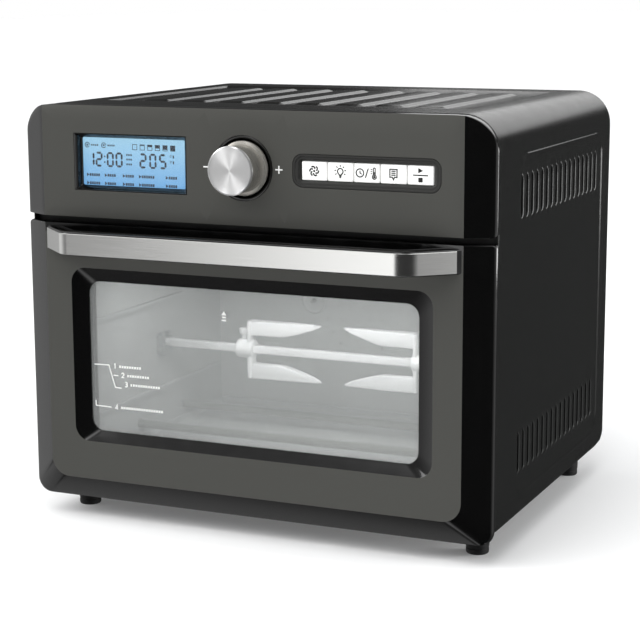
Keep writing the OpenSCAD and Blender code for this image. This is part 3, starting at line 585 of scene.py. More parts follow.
# The sides' lower corners are round, so the lowest lines rise there.
lift = rolled_in(grid_y - front_y, radius=6) + rolled_in(rear_y - grid_y, radius=15)
low_z = grid_z + lift * np.clip((50 - grid_z) / (50 - base_z), 0, 1) * on_side
# Next to its ends a louvre's lines draw towards its front edge, which gives the hooked ends.
ends = from_row(grid_z)
hook = smooth_step(ends, louvre_half - 3.5, louvre_half) * (ends < louvre_half + 1) * on_side
after = into_louvre(grid_y)
within = (grid_y > louvre_y[0]) & (grid_y < louvre_y[-1] + 6) & (after < 5)
drawn_y = grid_y - hook * within * after * 0.62
sheet_points = np.stack([grid_x + push * outward[:, :1], drawn_y, low_z + push * outward[:, 1:]], -1)
# Each louvre is slit open behind its front wall.
mid_y = (grid_y[:-1, :-1] + grid_y[1:, 1:]) / 2
mid_z = (grid_z[:-1, :-1] + grid_z[1:, 1:]) / 2
slit = (into_louvre(mid_y) > 0.3) & (into_louvre(mid_y) < 2.24) & (from_row(mid_z) < 14.5)
slit &= (mid_y > louvre_y[0]) & (mid_y < louvre_y[-1] + 6) & (on_side[:-1] & on_side[1:])
cover_faces = grid_faces(*sheet_points.shape[:2])[~slit].tolist()

# Stoved enamel, semi-gloss: a deep black with a soft sheen, a fine orange peel and a little dust-fine
# variation in its gloss.
black_enamel = grained("semi_gloss_black_enamel", 9, 0.004, detail=1, roughness=(0.2, 0.23),
                       shades=("#131413", "#161716"), Specular_IOR_Level=0.42)
cover = add_piece("cover_sheet", (sheet_points.reshape(-1, 3), cover_faces), [black_enamel], "cabinet",
                  ["wrap_cover"], sharp=40)


def thicken(piece, thickness, edge=0.0):
    """Gives an open skin its wall on the inside, and breaks its edges to a small radius, in mm."""
    add_modifier(piece, "SOLIDIFY", thickness=thickness / 1000, offset=-1, use_even_offset=False)
    if edge:
        add_modifier(piece, "BEVEL", width=edge / 1000, segments=2, limit_method="ANGLE",
                     angle_limit=math.radians(24))


thicken(cover, 0.9)
finish(black_enamel, "back_panel", edge=0.3)
finish(stoved_black, "rear_screws")


# Control panel: one injection moulding with a flat face, sloping sides and openings for the display, the
# dial and the key row. The flat face is sprayed a warm satin titanium; on the slopes the paint is swapped
# for polished black, painted shade that darkens them.
panel_low, panel_high = box_mm("front_fascia")
half_w = panel_high[0]
flat_half = half_w - 21.5
dish_low, dish_high = box_mm("dial_ring")
control_z = middle_mm("dial_ring")[2]
display_x, keys_x = middle_mm("display_bezel")[0], middle_mm("key_bezel")[0]
dish_r = (dish_high[0] - dish_low[0]) / 2
slope_plan = [(flat_half, 0), (half_w - 2.4, 9.8), (half_w - 1.5, 10.35), (half_w - 0.7, 11.2),
              (half_w - 0.15, 12.3), (half_w, 13.4)]


def panel_top(x):
    """Height of the panel's upper edge at x: level, then a quarter circle down to each side."""
    return panel_high[2] - rolled_in(half_w - np.abs(x), corner_r)


def panel_bottom(x):
    """Height of its lower edge at x: level, with a small round at each side."""
    return panel_low[2] + rolled_in(half_w - np.abs(x), radius=3)


def slope_depth(x):
    """How far the moulding's front lies behind the flat face at x."""
    plan = np.array(slope_plan)
    return np.interp(np.abs(x), plan[:, 0], plan[:, 1])


side_steps = 18


def opening(width, height, radius):
    """Outline of an opening, a quarter of it for each side of its cell: every side runs from the middle
    of one corner's arc to the middle of the next, anticlockwise from the lower right."""
    whole = round_rect(width, height, radius, per_corner=8)
    at = np.arange(side_steps) / side_steps * 9
    sides = []
    for start in (31, 4, 13, 22):
        walk = whole[np.arange(start, start + 10) % len(whole)]
        sides.append(np.stack([np.interp(at, np.arange(10), walk[:, k]) for k in (0, 1)], -1))
    return np.concatenate(sides)


def panel_height(x, share):
    """Height of the point that lies the given share of the way up the panel at x."""
    return panel_bottom(x) + (panel_top(x) - panel_bottom(x)) * share


def panel_cell(x0, x1, hole, centre):
    """Quads between an opening and the edge of its cell of the flat face: each point of the opening is
    joined by straight lines to the point as far along the cell's own side."""
    share = np.arange(side_steps) / side_steps
    across, back = x0 + (x1 - x0) * share, x1 - (x1 - x0) * share
    rim = np.concatenate([np.stack([x1 + 0 * share, panel_height(x1, share)], -1),
                          np.stack([back, panel_top(back)], -1),
                          np.stack([x0 + 0 * share, panel_height(x0, 1 - share)], -1),
                          np.stack([across, panel_bottom(across)], -1)])
    rings = np.array([(np.array(centre) + hole) * (1 - out) + rim * out for out in (0, 0.03, 0.5, 1)])
    quads = grid_faces(4, len(rim), wrap=True).reshape(-1, 4)
    return laid(rings.reshape(-1, 2), face_y, "y"), quads[:, ::-1].tolist()


cells = [(-flat_half, -31, opening(98.2, 44.2, 0.6), (display_x, control_z)),
         (-31, 34, opening(2 * dish_r + 0.1, 2 * dish_r + 0.1, dish_r), (0, control_z)),
         (34, flat_half, opening(116.1, 24.9, 8), (keys_x, control_z))]
shells = [panel_cell(*cell) for cell in cells]
# The slopes are columns from the crease out to the side, closer together round the corner.
crease = math.asin((flat_half - half_w + corner_r) / corner_r)
turns = crease + np.linspace(0, 1, 15) ** 0.8 * (np.pi / 2 - crease)
wing_x = half_w - corner_r + corner_r * np.sin(turns)
wing_x = np.unique(np.concatenate([wing_x, np.array(slope_plan)[:, 0]]).round(3))
rise = np.arange(side_steps + 1) / side_steps
for side in (-1, 1):
    x = wing_x[:, None] + 0 * rise
    points = np.stack([side * x, face_y + slope_depth(x), panel_height(x, rise)], -1)
    quads = grid_faces(*x.shape).reshape(-1, 4)[:, [0, 3, 2, 1]]
    shells.append((points.reshape(-1, 3), (quads if side > 0 else quads[:, ::-1]).tolist()))
# Walls run back from the whole edge to the moulding's rear.
rear = face_y + 15
flat_x = np.concatenate([x0 + (x1 - x0) * rise for x0, x1, hole, centre in cells])
edge_x = np.unique(np.concatenate([-wing_x, flat_x, wing_x]).round(3))
left_x, right_x = 0 * rise - half_w, 0 * rise + half_w
for x, z, faces_out in ((edge_x, panel_top(edge_x), True), (edge_x, panel_bottom(edge_x), False),
                        (left_x, panel_height(left_x, rise), True),
                        (right_x, panel_height(right_x, rise), False)):
    wall = np.array([np.stack([x, y + 0 * x, z], -1) for y in (face_y + slope_depth(x), rear)])
    quads = grid_faces(*wall.shape[:2]).reshape(-1, 4)
    shells.append((wall.reshape(-1, 3), (quads if faces_out else quads[:, ::-1]).tolist()))

# Satin titanium spray on ABS: a warm dark grey with fine metallic flake and a silk sheen.
titanium = grained("satin_titanium_paint", 0.35, 0.004, detail=2, roughness=(0.4, 0.48),
                   shades=("#434340", "#4e4e4a"), Metallic=0.25, Specular_IOR_Level=0.4)
# Polished black ABS: deep gloss, with the faint flow ripple of a moulding.
# On the slopes of the panel and the door, and above the door's handle, it is painted shade in place of the
# titanium paint.
gloss_black_and_painted_shade = grained("polished_black_abs_and_painted_shade", 14, 0.01, detail=1, roughness=(0.1, 0.16),
                      shades=("#040404", "#070707"), Coat_Weight=0.3, Coat_Roughness=0.04)


points, faces = merged(shells)
# The faces behind the flat face, the slopes and the walls, take the polished black as painted shade.
off_face = [max(points[corner][1] for corner in face) > face_y + 0.01 for face in faces]
panel = add_piece("control_panel", (points, faces), [titanium, gloss_black_and_painted_shade], "cabinet",
                  ["front_fascia"], sharp=18, face_material=off_face)
add_modifier(panel, "WELD", merge_threshold=0.00002)
thicken(panel, 2.2, edge=0.35)


# Display: a black frame that slopes down to a clear window, with a backlit liquid crystal panel behind.
def framed(outer, inner, centre, per_corner=5):
    """A ring-shaped solid along Y: sections down its outside, then back up its inside."""
    return loft(np.concatenate([stacked(outer, centre, "y", per_corner),
                                stacked(inner, centre, "y", per_corner)]), closed=True)


glass_y = box_mm("display_lens")[0][1]
display_centre = (display_x, control_z)
frame_outer = [(97.9, 43.9, 0.5, glass_y), (97.9, 43.9, 0.5, face_y + 0.5), (97.3, 43.3, 0.5, face_y + 0.1)]
frame_inner = [(96.5, 42.5, 0.8, face_y + 0.15), (94.6, 41.0, 1.0, face_y + 1.6),
               (93.6, 40.2, 1.0, face_y + 2.0), (91.2, 38.1, 1.2, face_y + 5.6),
               (90, 37, 1.4, face_y + 6.3), (90, 37, 1.4, glass_y)]
add_piece("display_frame", framed(frame_outer, frame_inner, display_centre), [gloss_black_and_painted_shade], "cabinet",
          ["display_bezel"])

# Polished acrylic window: clear, with a very light tint and a hard, smooth surface.
clear_acrylic = grained("polished_clear_acrylic", 30, 0.01, roughness=(0.03, 0.06), Alpha=0.04,
                        Base_Color=colour("#dceaf5"))
window = stacked([(97.6, 43.6, 0.4, glass_y + 0.7), (97.8, 43.8, 0.5, glass_y + 0.6),
                  (97.8, 43.8, 0.5, glass_y + 0.15), (97.5, 43.5, 0.4, glass_y + 0.02)], display_centre, "y")
add_piece("display_window", loft(window), [clear_acrylic], "cabinet", ["display_lens"])

# Backlit crystal panel: a blue glow, lighter towards the top, with the faint pixel mask.
backlit_blue, tree, shader = new_material("backlit_blue_crystal", Roughness=0.4, Emission_Strength=0.85,
                                          Base_Color=colour("#20303c"))
place = add_node(tree, "TexCoord")
spread = add_node(tree, "Mapping", {"Vector": place.outputs["Object"],
                                    "Location": (0.5 - display_x / 90, 0, 0.5 - control_z / 60),
                                    "Scale": (1000 / 90, 1, 1000 / 60)})
split = add_node(tree, "SeparateXYZ", {0: spread.outputs[0]})
rise = add_node(tree, "MapRange", {0: split.outputs[2], 1: 0.2, 2: 0.85})
glow = add_node(tree, "ValToRGB", {0: rise.outputs[0]})
glow.color_ramp.elements[0].color = colour("#70b2ea")
glow.color_ramp.elements[1].color = colour("#aee0fa")
mask = add_node(tree, "TexNoise", {"Vector": place.outputs["Object"], "Scale": 1000 / 0.9, "Detail": 1.0})
dimmed = add_node(tree, "MapRange", {0: mask.outputs[0], 1: 0.3, 2: 0.7, 3: 0.94, 4: 1.0})
lit = add_node(tree, "Mix", {0: 1.0, 6: glow.outputs[0], 7: dimmed.outputs[0]}, data_type="RGBA",
               blend_type="MULTIPLY")
tree.links.new(lit.outputs[2], shader.inputs["Emission Color"])
module_low, module_high = box_mm("display_module")
crystal_y = module_low[1] + 0.2
crystal = stacked([(94, 42, 1, module_high[1]), (94, 42, 1, crystal_y + 0.3), (93.4, 41.4, 1, crystal_y)],
                  display_centre, "y")
add_piece("crystal_panel", loft(crystal), [backlit_blue], "cabinet", ["display_module"])


def stroke(path, width, closed=False):
    """A flat line of the given width along a path of x and z, from y 0 back to y 1. At each point it turns
    to the mean direction of the two lines that meet there."""
    path = np.asarray(path, float)
    steps = np.diff(path, axis=0, append=path[:1])
    ahead, behind = steps, np.roll(steps, 1, 0)
    if not closed:
        ahead[-1], behind[0] = steps[-2], steps[0]
    ahead = ahead / np.linalg.norm(ahead, axis=1, keepdims=True)
    behind = behind / np.linalg.norm(behind, axis=1, keepdims=True)
    along = ahead + behind
    along /= np.linalg.norm(along, axis=1, keepdims=True)
    spread = 1 / np.clip(np.sum(along * ahead, 1, keepdims=True), 0.5, 1)
    across = np.stack([-along[:, 1], along[:, 0]], -1) * spread * width / 2
    left, right = path + across, path - across
    corners = [laid(left, 0, "y"), laid(right, 0, "y"), laid(right, 1, "y"), laid(left, 1, "y")]
    return loft(np.stack(corners, 1), closed)


def plate(outline):
    """A flat plate with the given outline of x and z, from y 0 back to y 1."""
    outline = np.asarray(outline, float)
    return loft(np.array([laid(outline, 0, "y"), laid(outline, 1, "y")]))


def bar(x, z, width, height):
    """A flat rectangle by its middle."""
    return plate(np.array([(-1, -1), (1, -1), (1, 1), (-1, 1)]) / 2 * (width, height) + (x, z))


def arc(x, z, radius, start, end, count=16):
    """Points of an arc of a circle between two angles in degrees."""
    angles = np.radians(np.linspace(start, end, count))
    return np.stack([x + radius * np.cos(angles), z + radius * np.sin(angles)], -1)


def printed(shells, y, thickness, move=(0, 0), scale=1.0):
    """Flat shells as one film of a real thickness with its front at y, scaled about the origin and then
    moved along x and z."""
    points, faces = merged(shells)
    return points * (scale, thickness, scale) + (move[0], y, move[1]), faces


# Crystal segments: seven-segment figures for the time and the heat, shade steps for the toast, and small
# arrows with bars that stand for the programmes. They lie as a dark film on the crystal's front.
SEGMENTS = {"0": "abcdef", "1": "bc", "2": "abged", "5": "afgcd"}


def figure(sign, x, z, width, height, line):
    """One seven-segment figure by its middle: bars across at three heights and uprights between them."""
    w, h, gap = width - line, height - line, line * 0.62
    half_bar, half_upright = np.array([w / 2 - gap, 0]), np.array([0, h / 4 - gap])
    places = {"a": (0, h / 2), "g": (0, 0), "d": (0, -h / 2), "b": (w / 2, h / 4), "c": (w / 2, -h / 4),
              "f": (-w / 2, h / 4), "e": (-w / 2, -h / 4)}
    shells = []
    for part in SEGMENTS[sign]:
        middle = np.array(places[part]) + (x, z)
        reach = half_bar if part in "agd" else half_upright
        start, end = middle - reach, middle + reach
        tip = reach / np.linalg.norm(reach) * line / 2
        side = np.array([-tip[1], tip[0]])
        shells.append(plate([start - tip, start + side, end + side, end + tip, end - side, start - side]))
    return shells


figure_z, icon_z = 292.3, 303.2
shells = []
for sign, x in zip("1200205", (-130.6, -123.4, -113.4, -105.6, -84.6, -76.0, -67.4)):
    shells += figure(sign, x, figure_z, width=6.3, height=11.6, line=1.65)
shells += [bar(-118.4, z, 1.2, 1.2) for z in (294.6, 290.2)]
for z in (280.1, 273.7):
    for x, length in zip((-134.4, -118.4, -102.4, -88.2, -64.8), (8.5, 7.5, 7, 10.5, 7.5)):
        shells.append(plate([(x - 0.2, z - 1.4), (x + 2, z), (x - 0.2, z + 1.4)]))
        shells += [bar(mark, z, 1.45, 2.1) for mark in np.arange(x + 3.0, x + 2.6 + length, 1.9)]
for step, x in enumerate(-91.6 + 6.6 * np.arange(6)):
    box = [(x - 1.9, 300.6), (x + 1.9, 300.6), (x + 1.9, 304.6), (x - 1.9, 304.6)]
    shells.append(stroke(box, 0.45, closed=True))
    if step:
        shells.append(bar(x, 304.6 - 0.4 * step, 3.8, 0.8 * step))
for x in (-133.6, -119.0):
    shells += [stroke(arc(x, icon_z, 1.9, 0, 330, 14), 0.55), bar(x, icon_z, 1.5, 1.5)]
    shells += [bar(x + 4 + 1.7 * k, icon_z, 1.1, 1.3) for k in range(4)]
shells += [bar(-98.6 + 1.8 * k, z, 1.2, 1.4) for z in (296.4, 292.9, 289.2) for k in range(3)]
for z in (296.6, 292.2):
    shells += [stroke(arc(-60.4, z, 0.7, 0, 315, 8), 0.35), bar(-58.2, z - 0.4, 1.1, 2.2)]
# Dark crystal: a thin blue-black film, slightly uneven where the segments aren't fully driven.
crystal_ink = grained("driven_crystal_segments", 1.5, 0.001, roughness=(0.45, 0.6),
                      shades=("#0a1220", "#142036"), Roughness=0.5)
add_piece("display_figures", printed(shells, crystal_y - 0.12, 0.1, move=(-4.6, -1.3)), [crystal_ink],
          "cabinet")


# Dial: a spun aluminium cap pressed on a satin skirt, which turns in a dark dish set into the panel.
cap_low, cap_high = box_mm("dial_cap")
cap_r = (cap_high[0] - cap_low[0]) / 2
cap_y = cap_low[1]
dial_centre = (0, control_z)
dish = [(3.95, 5), (dish_r - 0.05, 5), (dish_r - 0.05, 0.5), (dish_r - 0.25, 0.12), (dish_r - 0.6, 0),
        (dish_r - 1.5, 0), (dish_r - 2.0, 0.25), (dish_r - 2.5, 1.1), (dish_r - 3.1, 2.1),
        (dish_r - 4.0, 2.5), (8, 2.55), (4.3, 2.6), (3.95, 2.9)]
add_piece("dial_dish", turned(np.array(dish) + (0, face_y), dial_centre, "y", around=96, closed=True),
          [gloss_black_and_painted_shade], "cabinet", ["dial_ring"])
cap_back = cap_high[1]
cap_front = [(cap_r, 0.85), (cap_r - 0.12, 0.6), (cap_r - 1.05, 0.04), (cap_r - 1.3, 0), (cap_r - 1.5, 0.06),
             (cap_r - 1.75, 0.12), (12, 0.14), (6, 0.15), (1.5, 0.155)]
cap_turn = np.concatenate([[(cap_r - 1.2, cap_back), (cap_r - 0.25, cap_back), (cap_r, cap_back - 0.25)],
                           np.array(cap_front) + (0, cap_y)])
# Spun aluminium: turned with a fine tool, so that light smears across the turning marks into bright
# wedges; the chamfer is diamond cut. The turning marks are drawn at about 0.3 mm so that they show.
spun, tree, shader = new_material("spun_aluminium", Metallic=1.0, Anisotropic=0.95,
                                    Anisotropic_Rotation=0.25, Base_Color=colour("#f6f6f6"))
place = add_node(tree, "TexCoord")
centred = add_node(tree, "Mapping", {"Vector": place.outputs["Object"],
                                     "Location": (0, 0, -control_z / 1000)})
marks = add_node(tree, "TexWave", {"Vector": centred.outputs[0], "Scale": 314 / 0.3, "Distortion": 0.6,
                                   "Detail": 2.0, "Detail Scale": 3.0},
                 wave_type="RINGS", rings_direction="Y")
bump = add_node(tree, "Bump", {"Height": marks.outputs["Fac"], "Distance": 0.000002, "Strength": 0.15})
tree.links.new(bump.outputs[0], shader.inputs["Normal"])
spread = add_node(tree, "MapRange", {0: marks.outputs["Fac"], 3: 0.3, 4: 0.36})
tree.links.new(spread.outputs[0], shader.inputs["Roughness"])
turning = add_node(tree, "Tangent", direction_type="RADIAL", axis="Y")
tree.links.new(turning.outputs[0], shader.inputs["Tangent"])
add_piece("dial_face", turned(cap_turn, dial_centre, "y", around=128), [spun], "dial",
          ["dial_cap"])
skirt_r = cap_r - 0.8
skirt_back = box_mm("dial_body")[1][1]
foot_turn = [(2.6, 0), (3.0, -0.3), (3.0, -1.3), (2.7, -1.9), (1.6, -2.4), (0.5, -2.7), (0.05, -3.6), (0, -5)]
neck_turn = [(0, 2.2), (-0.5, 1.9), (-0.5, 1.2), (0, 0.9), (0, 0.3), (-0.2, 0.05)]
skirt = np.concatenate([[(6.2, skirt_back)], np.array(foot_turn) + (skirt_r, skirt_back),
                        np.array(neck_turn) + (skirt_r, cap_back), [(6.2, cap_back + 0.05)]])
# Satin metallised skirt: vacuum plated over moulded ABS, warm grey, with faint turning lines.
satin_metal = grained("satin_metallised_abs", 0.8, 0.001, stretch=(0.1, 3, 0.1), roughness=(0.26, 0.32),
                      shades=("#aba8a1", "#b4b1aa"), Metallic=0.6)
add_piece("dial_skirt", turned(skirt, dial_centre, "y", around=96, closed=True), [satin_metal], "dial",
          ["dial_body"])
finish(steel_pin, "encoder_shaft")
finish(zinc_plate, "encoder")

# Screen print: white epoxy ink, slightly raised, matt, with the fine edge of the mesh.
white_print = grained("white_screen_print", 0.4, 0.005, roughness=(0.5, 0.65), shades=("#e6e6e4", "#f4f4f2"))
signs = [bar(-30.2, 0, 5.4, 1.0), bar(29.6, 0, 5.8, 1.0), bar(29.6, 1.7, 1.0, 2.4), bar(29.6, -1.7, 1.0, 2.4)]
add_piece("dial_signs", printed(signs, face_y - 0.04, 0.05, move=(0, control_z)), [white_print], "cabinet")


# Key row: a rounded moulded frame with a step and a sloping inner edge, and five white push keys with
# printed signs for the fan, the lamp, time and heat, the menu, and start and stop.
row_centre = (keys_x, control_z)
row_outer = [(115.8, 24.6, 7.9, 4), (115.8, 24.6, 7.9, 0.5), (115.2, 24.0, 7.7, 0.1)]
row_inner = [(113.0, 21.8, 6.9, 0.1), (112.2, 21.0, 6.5, 0.5), (111.8, 20.6, 6.4, 0.9),
             (108.0, 17.6, 4.0, 1.0), (107.2, 16.8, 3.6, 1.3), (104.3, 14.5, 1.2, 2.4), (104.3, 14.5, 1.2, 4)]
row_shell = framed(*[np.array(part) + (0, 0, 0, face_y) for part in (row_outer, row_inner)], row_centre,
                   per_corner=8)
# Spark-eroded ABS: dark grey, matt, with a fine moulded texture.
textured_grey = grained("textured_dark_grey_abs", 0.5, 0.01, roughness=(0.4, 0.5),
                        shades=("#242423", "#2d2d2b"), Specular_IOR_Level=0.4)
add_piece("key_frame", row_shell, [textured_grey], "cabinet", ["key_bezel"])
# White ABS keys: dense opaque white, satin, with a faint painted glow that brightens them, and a fine moulded
# grain.
white_abs_and_painted_glow = grained("satin_white_abs", 0.5, 0.004, roughness=(0.35, 0.45), shades=("#f0f0ee", "#f8f8f6"),
                    Emission_Color=colour("#ffffff"), Emission_Strength=0.12, Specular_IOR_Level=0.4)
# Black pad print on the keys: thin and slightly glossy.
black_print = grained("black_pad_print", 0.4, 0.003, roughness=(0.35, 0.5), shades=("#101010", "#1b1b1b"))


fan_blades = [stroke(arc(*root, 1.35, 60 * k - 130, 60 * k + 20, 7), 1.0)
              for k, root in enumerate(arc(0, 0, 1.75, 0, 300, 6))]
lamp_rays = [stroke(ends, 0.7) for ends in zip(arc(0, 0.4, 2.9, -30, 210, 7), arc(0, 0.4, 4.1, -30, 210, 7))]
bulb = np.concatenate([arc(0, 0.4, 1.9, -50, 230), [(-0.7, -1.9), (0.7, -1.9)]])
thermometer = np.concatenate([arc(5.2, -2.3, 1.35, 118, 422, 14), arc(5.2, 2.8, 0.65, 0, 180, 6)])
tag = [(-2.4, -1.9), (-0.8, -1.9), (0, -3.3), (0.8, -1.9), (2.4, -1.9), (2.4, 3.1), (-2.4, 3.1)]
# Six curved blades round a hub; a bulb with its cap and rays; a clock, a slanting line and a thermometer
# with its scale; a tag with three lines of a list; a triangle for start over a square for stop.
key_signs = {
    "fan": [plate(arc(0, 0, 0.75, 0, 330, 12))] + fan_blades,
    "lamp": [stroke(bulb, 0.8, closed=True), bar(0, -2.7, 1.7, 0.7), bar(0, -3.5, 1.2, 0.7)] + lamp_rays,
    "time": [stroke(arc(-4.6, 0, 2.6, 0, 337), 0.8, closed=True),
             stroke([(-4.6, 1.5), (-4.6, 0), (-3.4, -0.8)], 0.7), stroke([(-0.9, -3), (1.1, 3)], 0.8),
             stroke(thermometer, 0.7, closed=True), plate(arc(5.2, -2.3, 0.8, 0, 330, 12)),
             bar(5.2, -0.3, 0.45, 2.6)] + [bar(3.2, z, 1.0, 0.6) for z in (2.4, 1.1, -0.2)],
    "menu": [stroke(tag, 0.8, closed=True)] + [bar(0, z, 2.9, 0.8) for z in (1.9, 0.65, -0.6)],
    "start": [plate([(-1.5, 1.2), (1.7, 2.9), (-1.5, 4.6)]), bar(0, 0, 10, 0.8), bar(0, -2.9, 2.9, 2.9)]}
sign_scale = 1.14
for key, sign in key_signs.items():
    low, high = box_mm("key_" + key)
    middle = (middle_mm("key_" + key)[0], control_z)
    width, height = high[0] - low[0] - 0.5, 2 * (high[2] - control_z)
    sections = [(6, 6, 0.5, high[1]), (6, 6, 0.5, low[1] + 4), (width - 0.2, height - 0.2, 0.5, low[1] + 4),
                (width, height, 0.6, low[1] + 3.8), (width, height, 0.6, low[1] + 0.6),
                (width - 0.3, height - 0.3, 0.6, low[1] + 0.2), (width - 1.0, height - 1.0, 0.6, low[1])]
    add_piece("key_" + key + "_cap", loft(stacked(sections, middle, "y")), [white_abs_and_painted_glow],
              "key_" + key + "_body", ["key_" + key])
    add_piece("key_" + key + "_sign", printed(sign, low[1] - 0.04, 0.06, middle, sign_scale), [black_print],
              "key_" + key + "_body")


# Glass-fibre boards: green solder mask over a woven base, with copper shadows.
solder_mask = grained("green_solder_mask", 2.2, 0.02, roughness=(0.25, 0.4), shades=("#12492a", "#226b3f"),
                      Specular_IOR_Level=0.5)
finish(solder_mask, "control_board", "power_board")
finish(stoved_black, "key_switches", "door_switch", "inlet_gland")


# Door: one moulding with a flat face round the window, slopes on three sides and a stepped recess to the
# glass; on the slopes the paint is swapped for polished black, painted shade that darkens them. Its rear
# lip has two notches for the hinge brackets. Behind it are the steel inner panel, the inner pane and the
# heat-proof seal.
door_low, door_high = box_mm("door_frame")
pane_low, pane_high = box_mm("door_glass_outer")
window_z = middle_mm("door_glass_outer")[2]
window_w, window_h = pane_high[0] - pane_low[0] - 24, pane_high[2] - pane_low[2] - 24
door_top = door_high[2]
notch_x = (177.6, 182.4)


def door_ring(half, low_z, high_z, low_r, high_r, y, per_corner=8):
    """One line round the door from its upper right corner, anticlockwise: four corner arcs, and on the
    lower edge two pairs of points that bound the notches."""
    turns = np.linspace(0, np.pi / 2, per_corner + 1)
    points = []
    corners = [(half - high_r, high_z - high_r, high_r), (-half + high_r, high_z - high_r, high_r),
               (-half + low_r, low_z + low_r, low_r), (half - low_r, low_z + low_r, low_r)]
    for quarter, (x, z, radius) in enumerate(corners):
        angles = turns + quarter * np.pi / 2
        points.append(np.stack([x + radius * np.cos(angles), z + radius * np.sin(angles)], -1))
        if quarter == 2:
            straight = half - low_r
            share = np.array([-notch_x[1], -notch_x[0], notch_x[0], notch_x[1]]) / (half_w - 12) * straight
            points.append(np.stack([share, np.full(4, low_z)], -1))
    return laid(np.concatenate(points), y, "y")


def on_window(width, height, radius, y, rise=0.0):
    """A line round the window opening, with the same points as a door line."""
    return door_ring(width / 2, window_z + rise - height / 2, window_z + rise + height / 2, radius, radius, y)


collar_y = pane_low[1] - 0.15
door_rings = np.array([
    on_window(window_w, window_h, 10, collar_y),
    on_window(window_w + 0.5, window_h + 0.5, 10, collar_y - 0.8),
    on_window(window_w + 4.0, window_h + 3.2, 10.4, collar_y - 1.5, 0.4),
    on_window(window_w + 24.5, window_h + 18.2, 12, face_y + 0.35, 1.3),
    on_window(window_w + 25.5, window_h + 19.2, 12.3, face_y, 1.4),
    door_ring(flat_half - 0.5, door_low[2] + 19.4, door_top - 7, 14.5, 0.5, face_y),
    door_ring(flat_half, door_low[2] + 18.9, door_top, 15, 0.5, face_y),
    door_ring(half_w - 2.4, door_low[2] + 1.4, door_top, 12.5, 2.2, face_y + 9.8),
    door_ring(half_w - 1.4, door_low[2] + 0.75, door_top, 12.2, 2.6, face_y + 10.4),
    door_ring(half_w - 0.6, door_low[2] + 0.3, door_top, 12, 2.9, face_y + 11.3),
    door_ring(half_w - 0.1, door_low[2] + 0.05, door_top, 12, 3, face_y + 12.5),
    door_ring(half_w, door_low[2], door_top, 12, 3, face_y + 13.4),
    door_ring(half_w, door_low[2] + 2.3, door_top, 12, 3, face_y + 15)])
quads = grid_faces(*door_rings.shape[:2], wrap=True)
band, column = np.indices(quads.shape[:2])
# From band 9 back, the columns between each pair of notch points are left out; bands 4 and 5 are flat.
kept = ~(np.isin(column, (27, 29)) & (band >= 9))
quads, band = quads[kept], band[kept]
points = door_rings.reshape(-1, 3)
quad_z = points[quads][..., 2]
# The flat face is sprayed titanium, but its band above the handle is polished black like the slopes:
# painted shade for the dark gap over the handle.
painted = ((band == 4) | (band == 5)) & (np.ptp(quad_z, axis=1) > 0.01)
painted &= (band == 4) | (quad_z.min(axis=1) < door_top - 8)
door = add_piece("door_moulding", (points, quads[:, ::-1].tolist()), [titanium, gloss_black_and_painted_shade], "door",
                 ["door_frame"], sharp=18, face_material=~painted)
add_modifier(door, "WELD", merge_threshold=0.00002)
thicken(door, 2.2, edge=0.35)


# Door glass: two toughened panes with ground edges. The outer one has the shelf numbers and their
# leader lines screen printed on it, and a faint grey tint that veils the oven.
tinted_glass = grained("tinted_toughened_glass", 60, 0.02, detail=1, roughness=(0.06, 0.12), Alpha=0.36,
                       Base_Color=colour("#a3a5a4"))
pane_y = (pane_low[1], pane_high[1])
pane_w, pane_h = pane_high[0] - pane_low[0], pane_high[2] - pane_low[2]
pane = stacked([(pane_w - 1.2, pane_h - 1.2, 11.4, pane_y[0]), (pane_w, pane_h, 12, pane_y[0] + 0.6),
                (pane_w, pane_h, 12, pane_y[1] - 0.6), (pane_w - 1.2, pane_h - 1.2, 11.4, pane_y[1])],
               (0, window_z), "y", per_corner=8)
add_piece("door_outer_pane", loft(pane), [tinted_glass], "door", ["door_glass_outer"])
clear_glass = grained("clear_toughened_glass", 60, 0.02, detail=1, roughness=(0.04, 0.1), Alpha=0.08,
                      Base_Color=colour("#c8cecd"))
finish(clear_glass, "door_glass_inner")
FIGURES = {
    "1": [(-0.55, 1.1), (0.15, 1.7), (0.15, -1.7)],
    "2": [(-0.95, 0.8), (-0.7, 1.4), (0, 1.7), (0.7, 1.4), (0.9, 0.75), (0.6, 0.05), (-0.95, -1.55),
          (1.0, -1.55)],
    "3": [(-0.9, 1.3), (0, 1.7), (0.75, 1.35), (0.75, 0.5), (0, 0.1), (0.85, -0.4), (0.85, -1.2), (0, -1.7),
          (-0.95, -1.3)],
    "4": [(0.4, -1.7), (0.4, 1.7), (-1.05, -0.75), (1.05, -0.75)]}
shells = [stroke([(-135.6, 128.9), (-122.6, 129.2), (-117.2, 111.6), (-111.6, 111.4)], 0.7),
          stroke([(-118.6, 121.3), (-114.4, 121.2)], 0.7),
          stroke([(-135.2, 99.8), (-135.2, 95.6), (-121.4, 95.2)], 0.7),
          plate([(-22.6, 176.2), (-18.4, 176.2), (-20.5, 179.4)]),
          bar(-20.5, 174.6, 3.2, 1.1), bar(-20.5, 172.2, 3.8, 1.1)]
for number, x, z, bars in (("1", -117.2, 128.7, 9), ("2", -110.2, 121.8, 9), ("3", -107.4, 114.6, 12),
                           ("4", -116.4, 95.6, 17)):
    shells.append(stroke(np.array(FIGURES[number]) * 1.15 + (x, z), 0.75))
    shells += [bar(x + 4.6 + 2.25 * k, z - 0.1, 1.35, 1.9) for k in range(bars)]
add_piece("window_print", printed(shells, pane_y[0] - 0.06, 0.06), [white_print], "door")

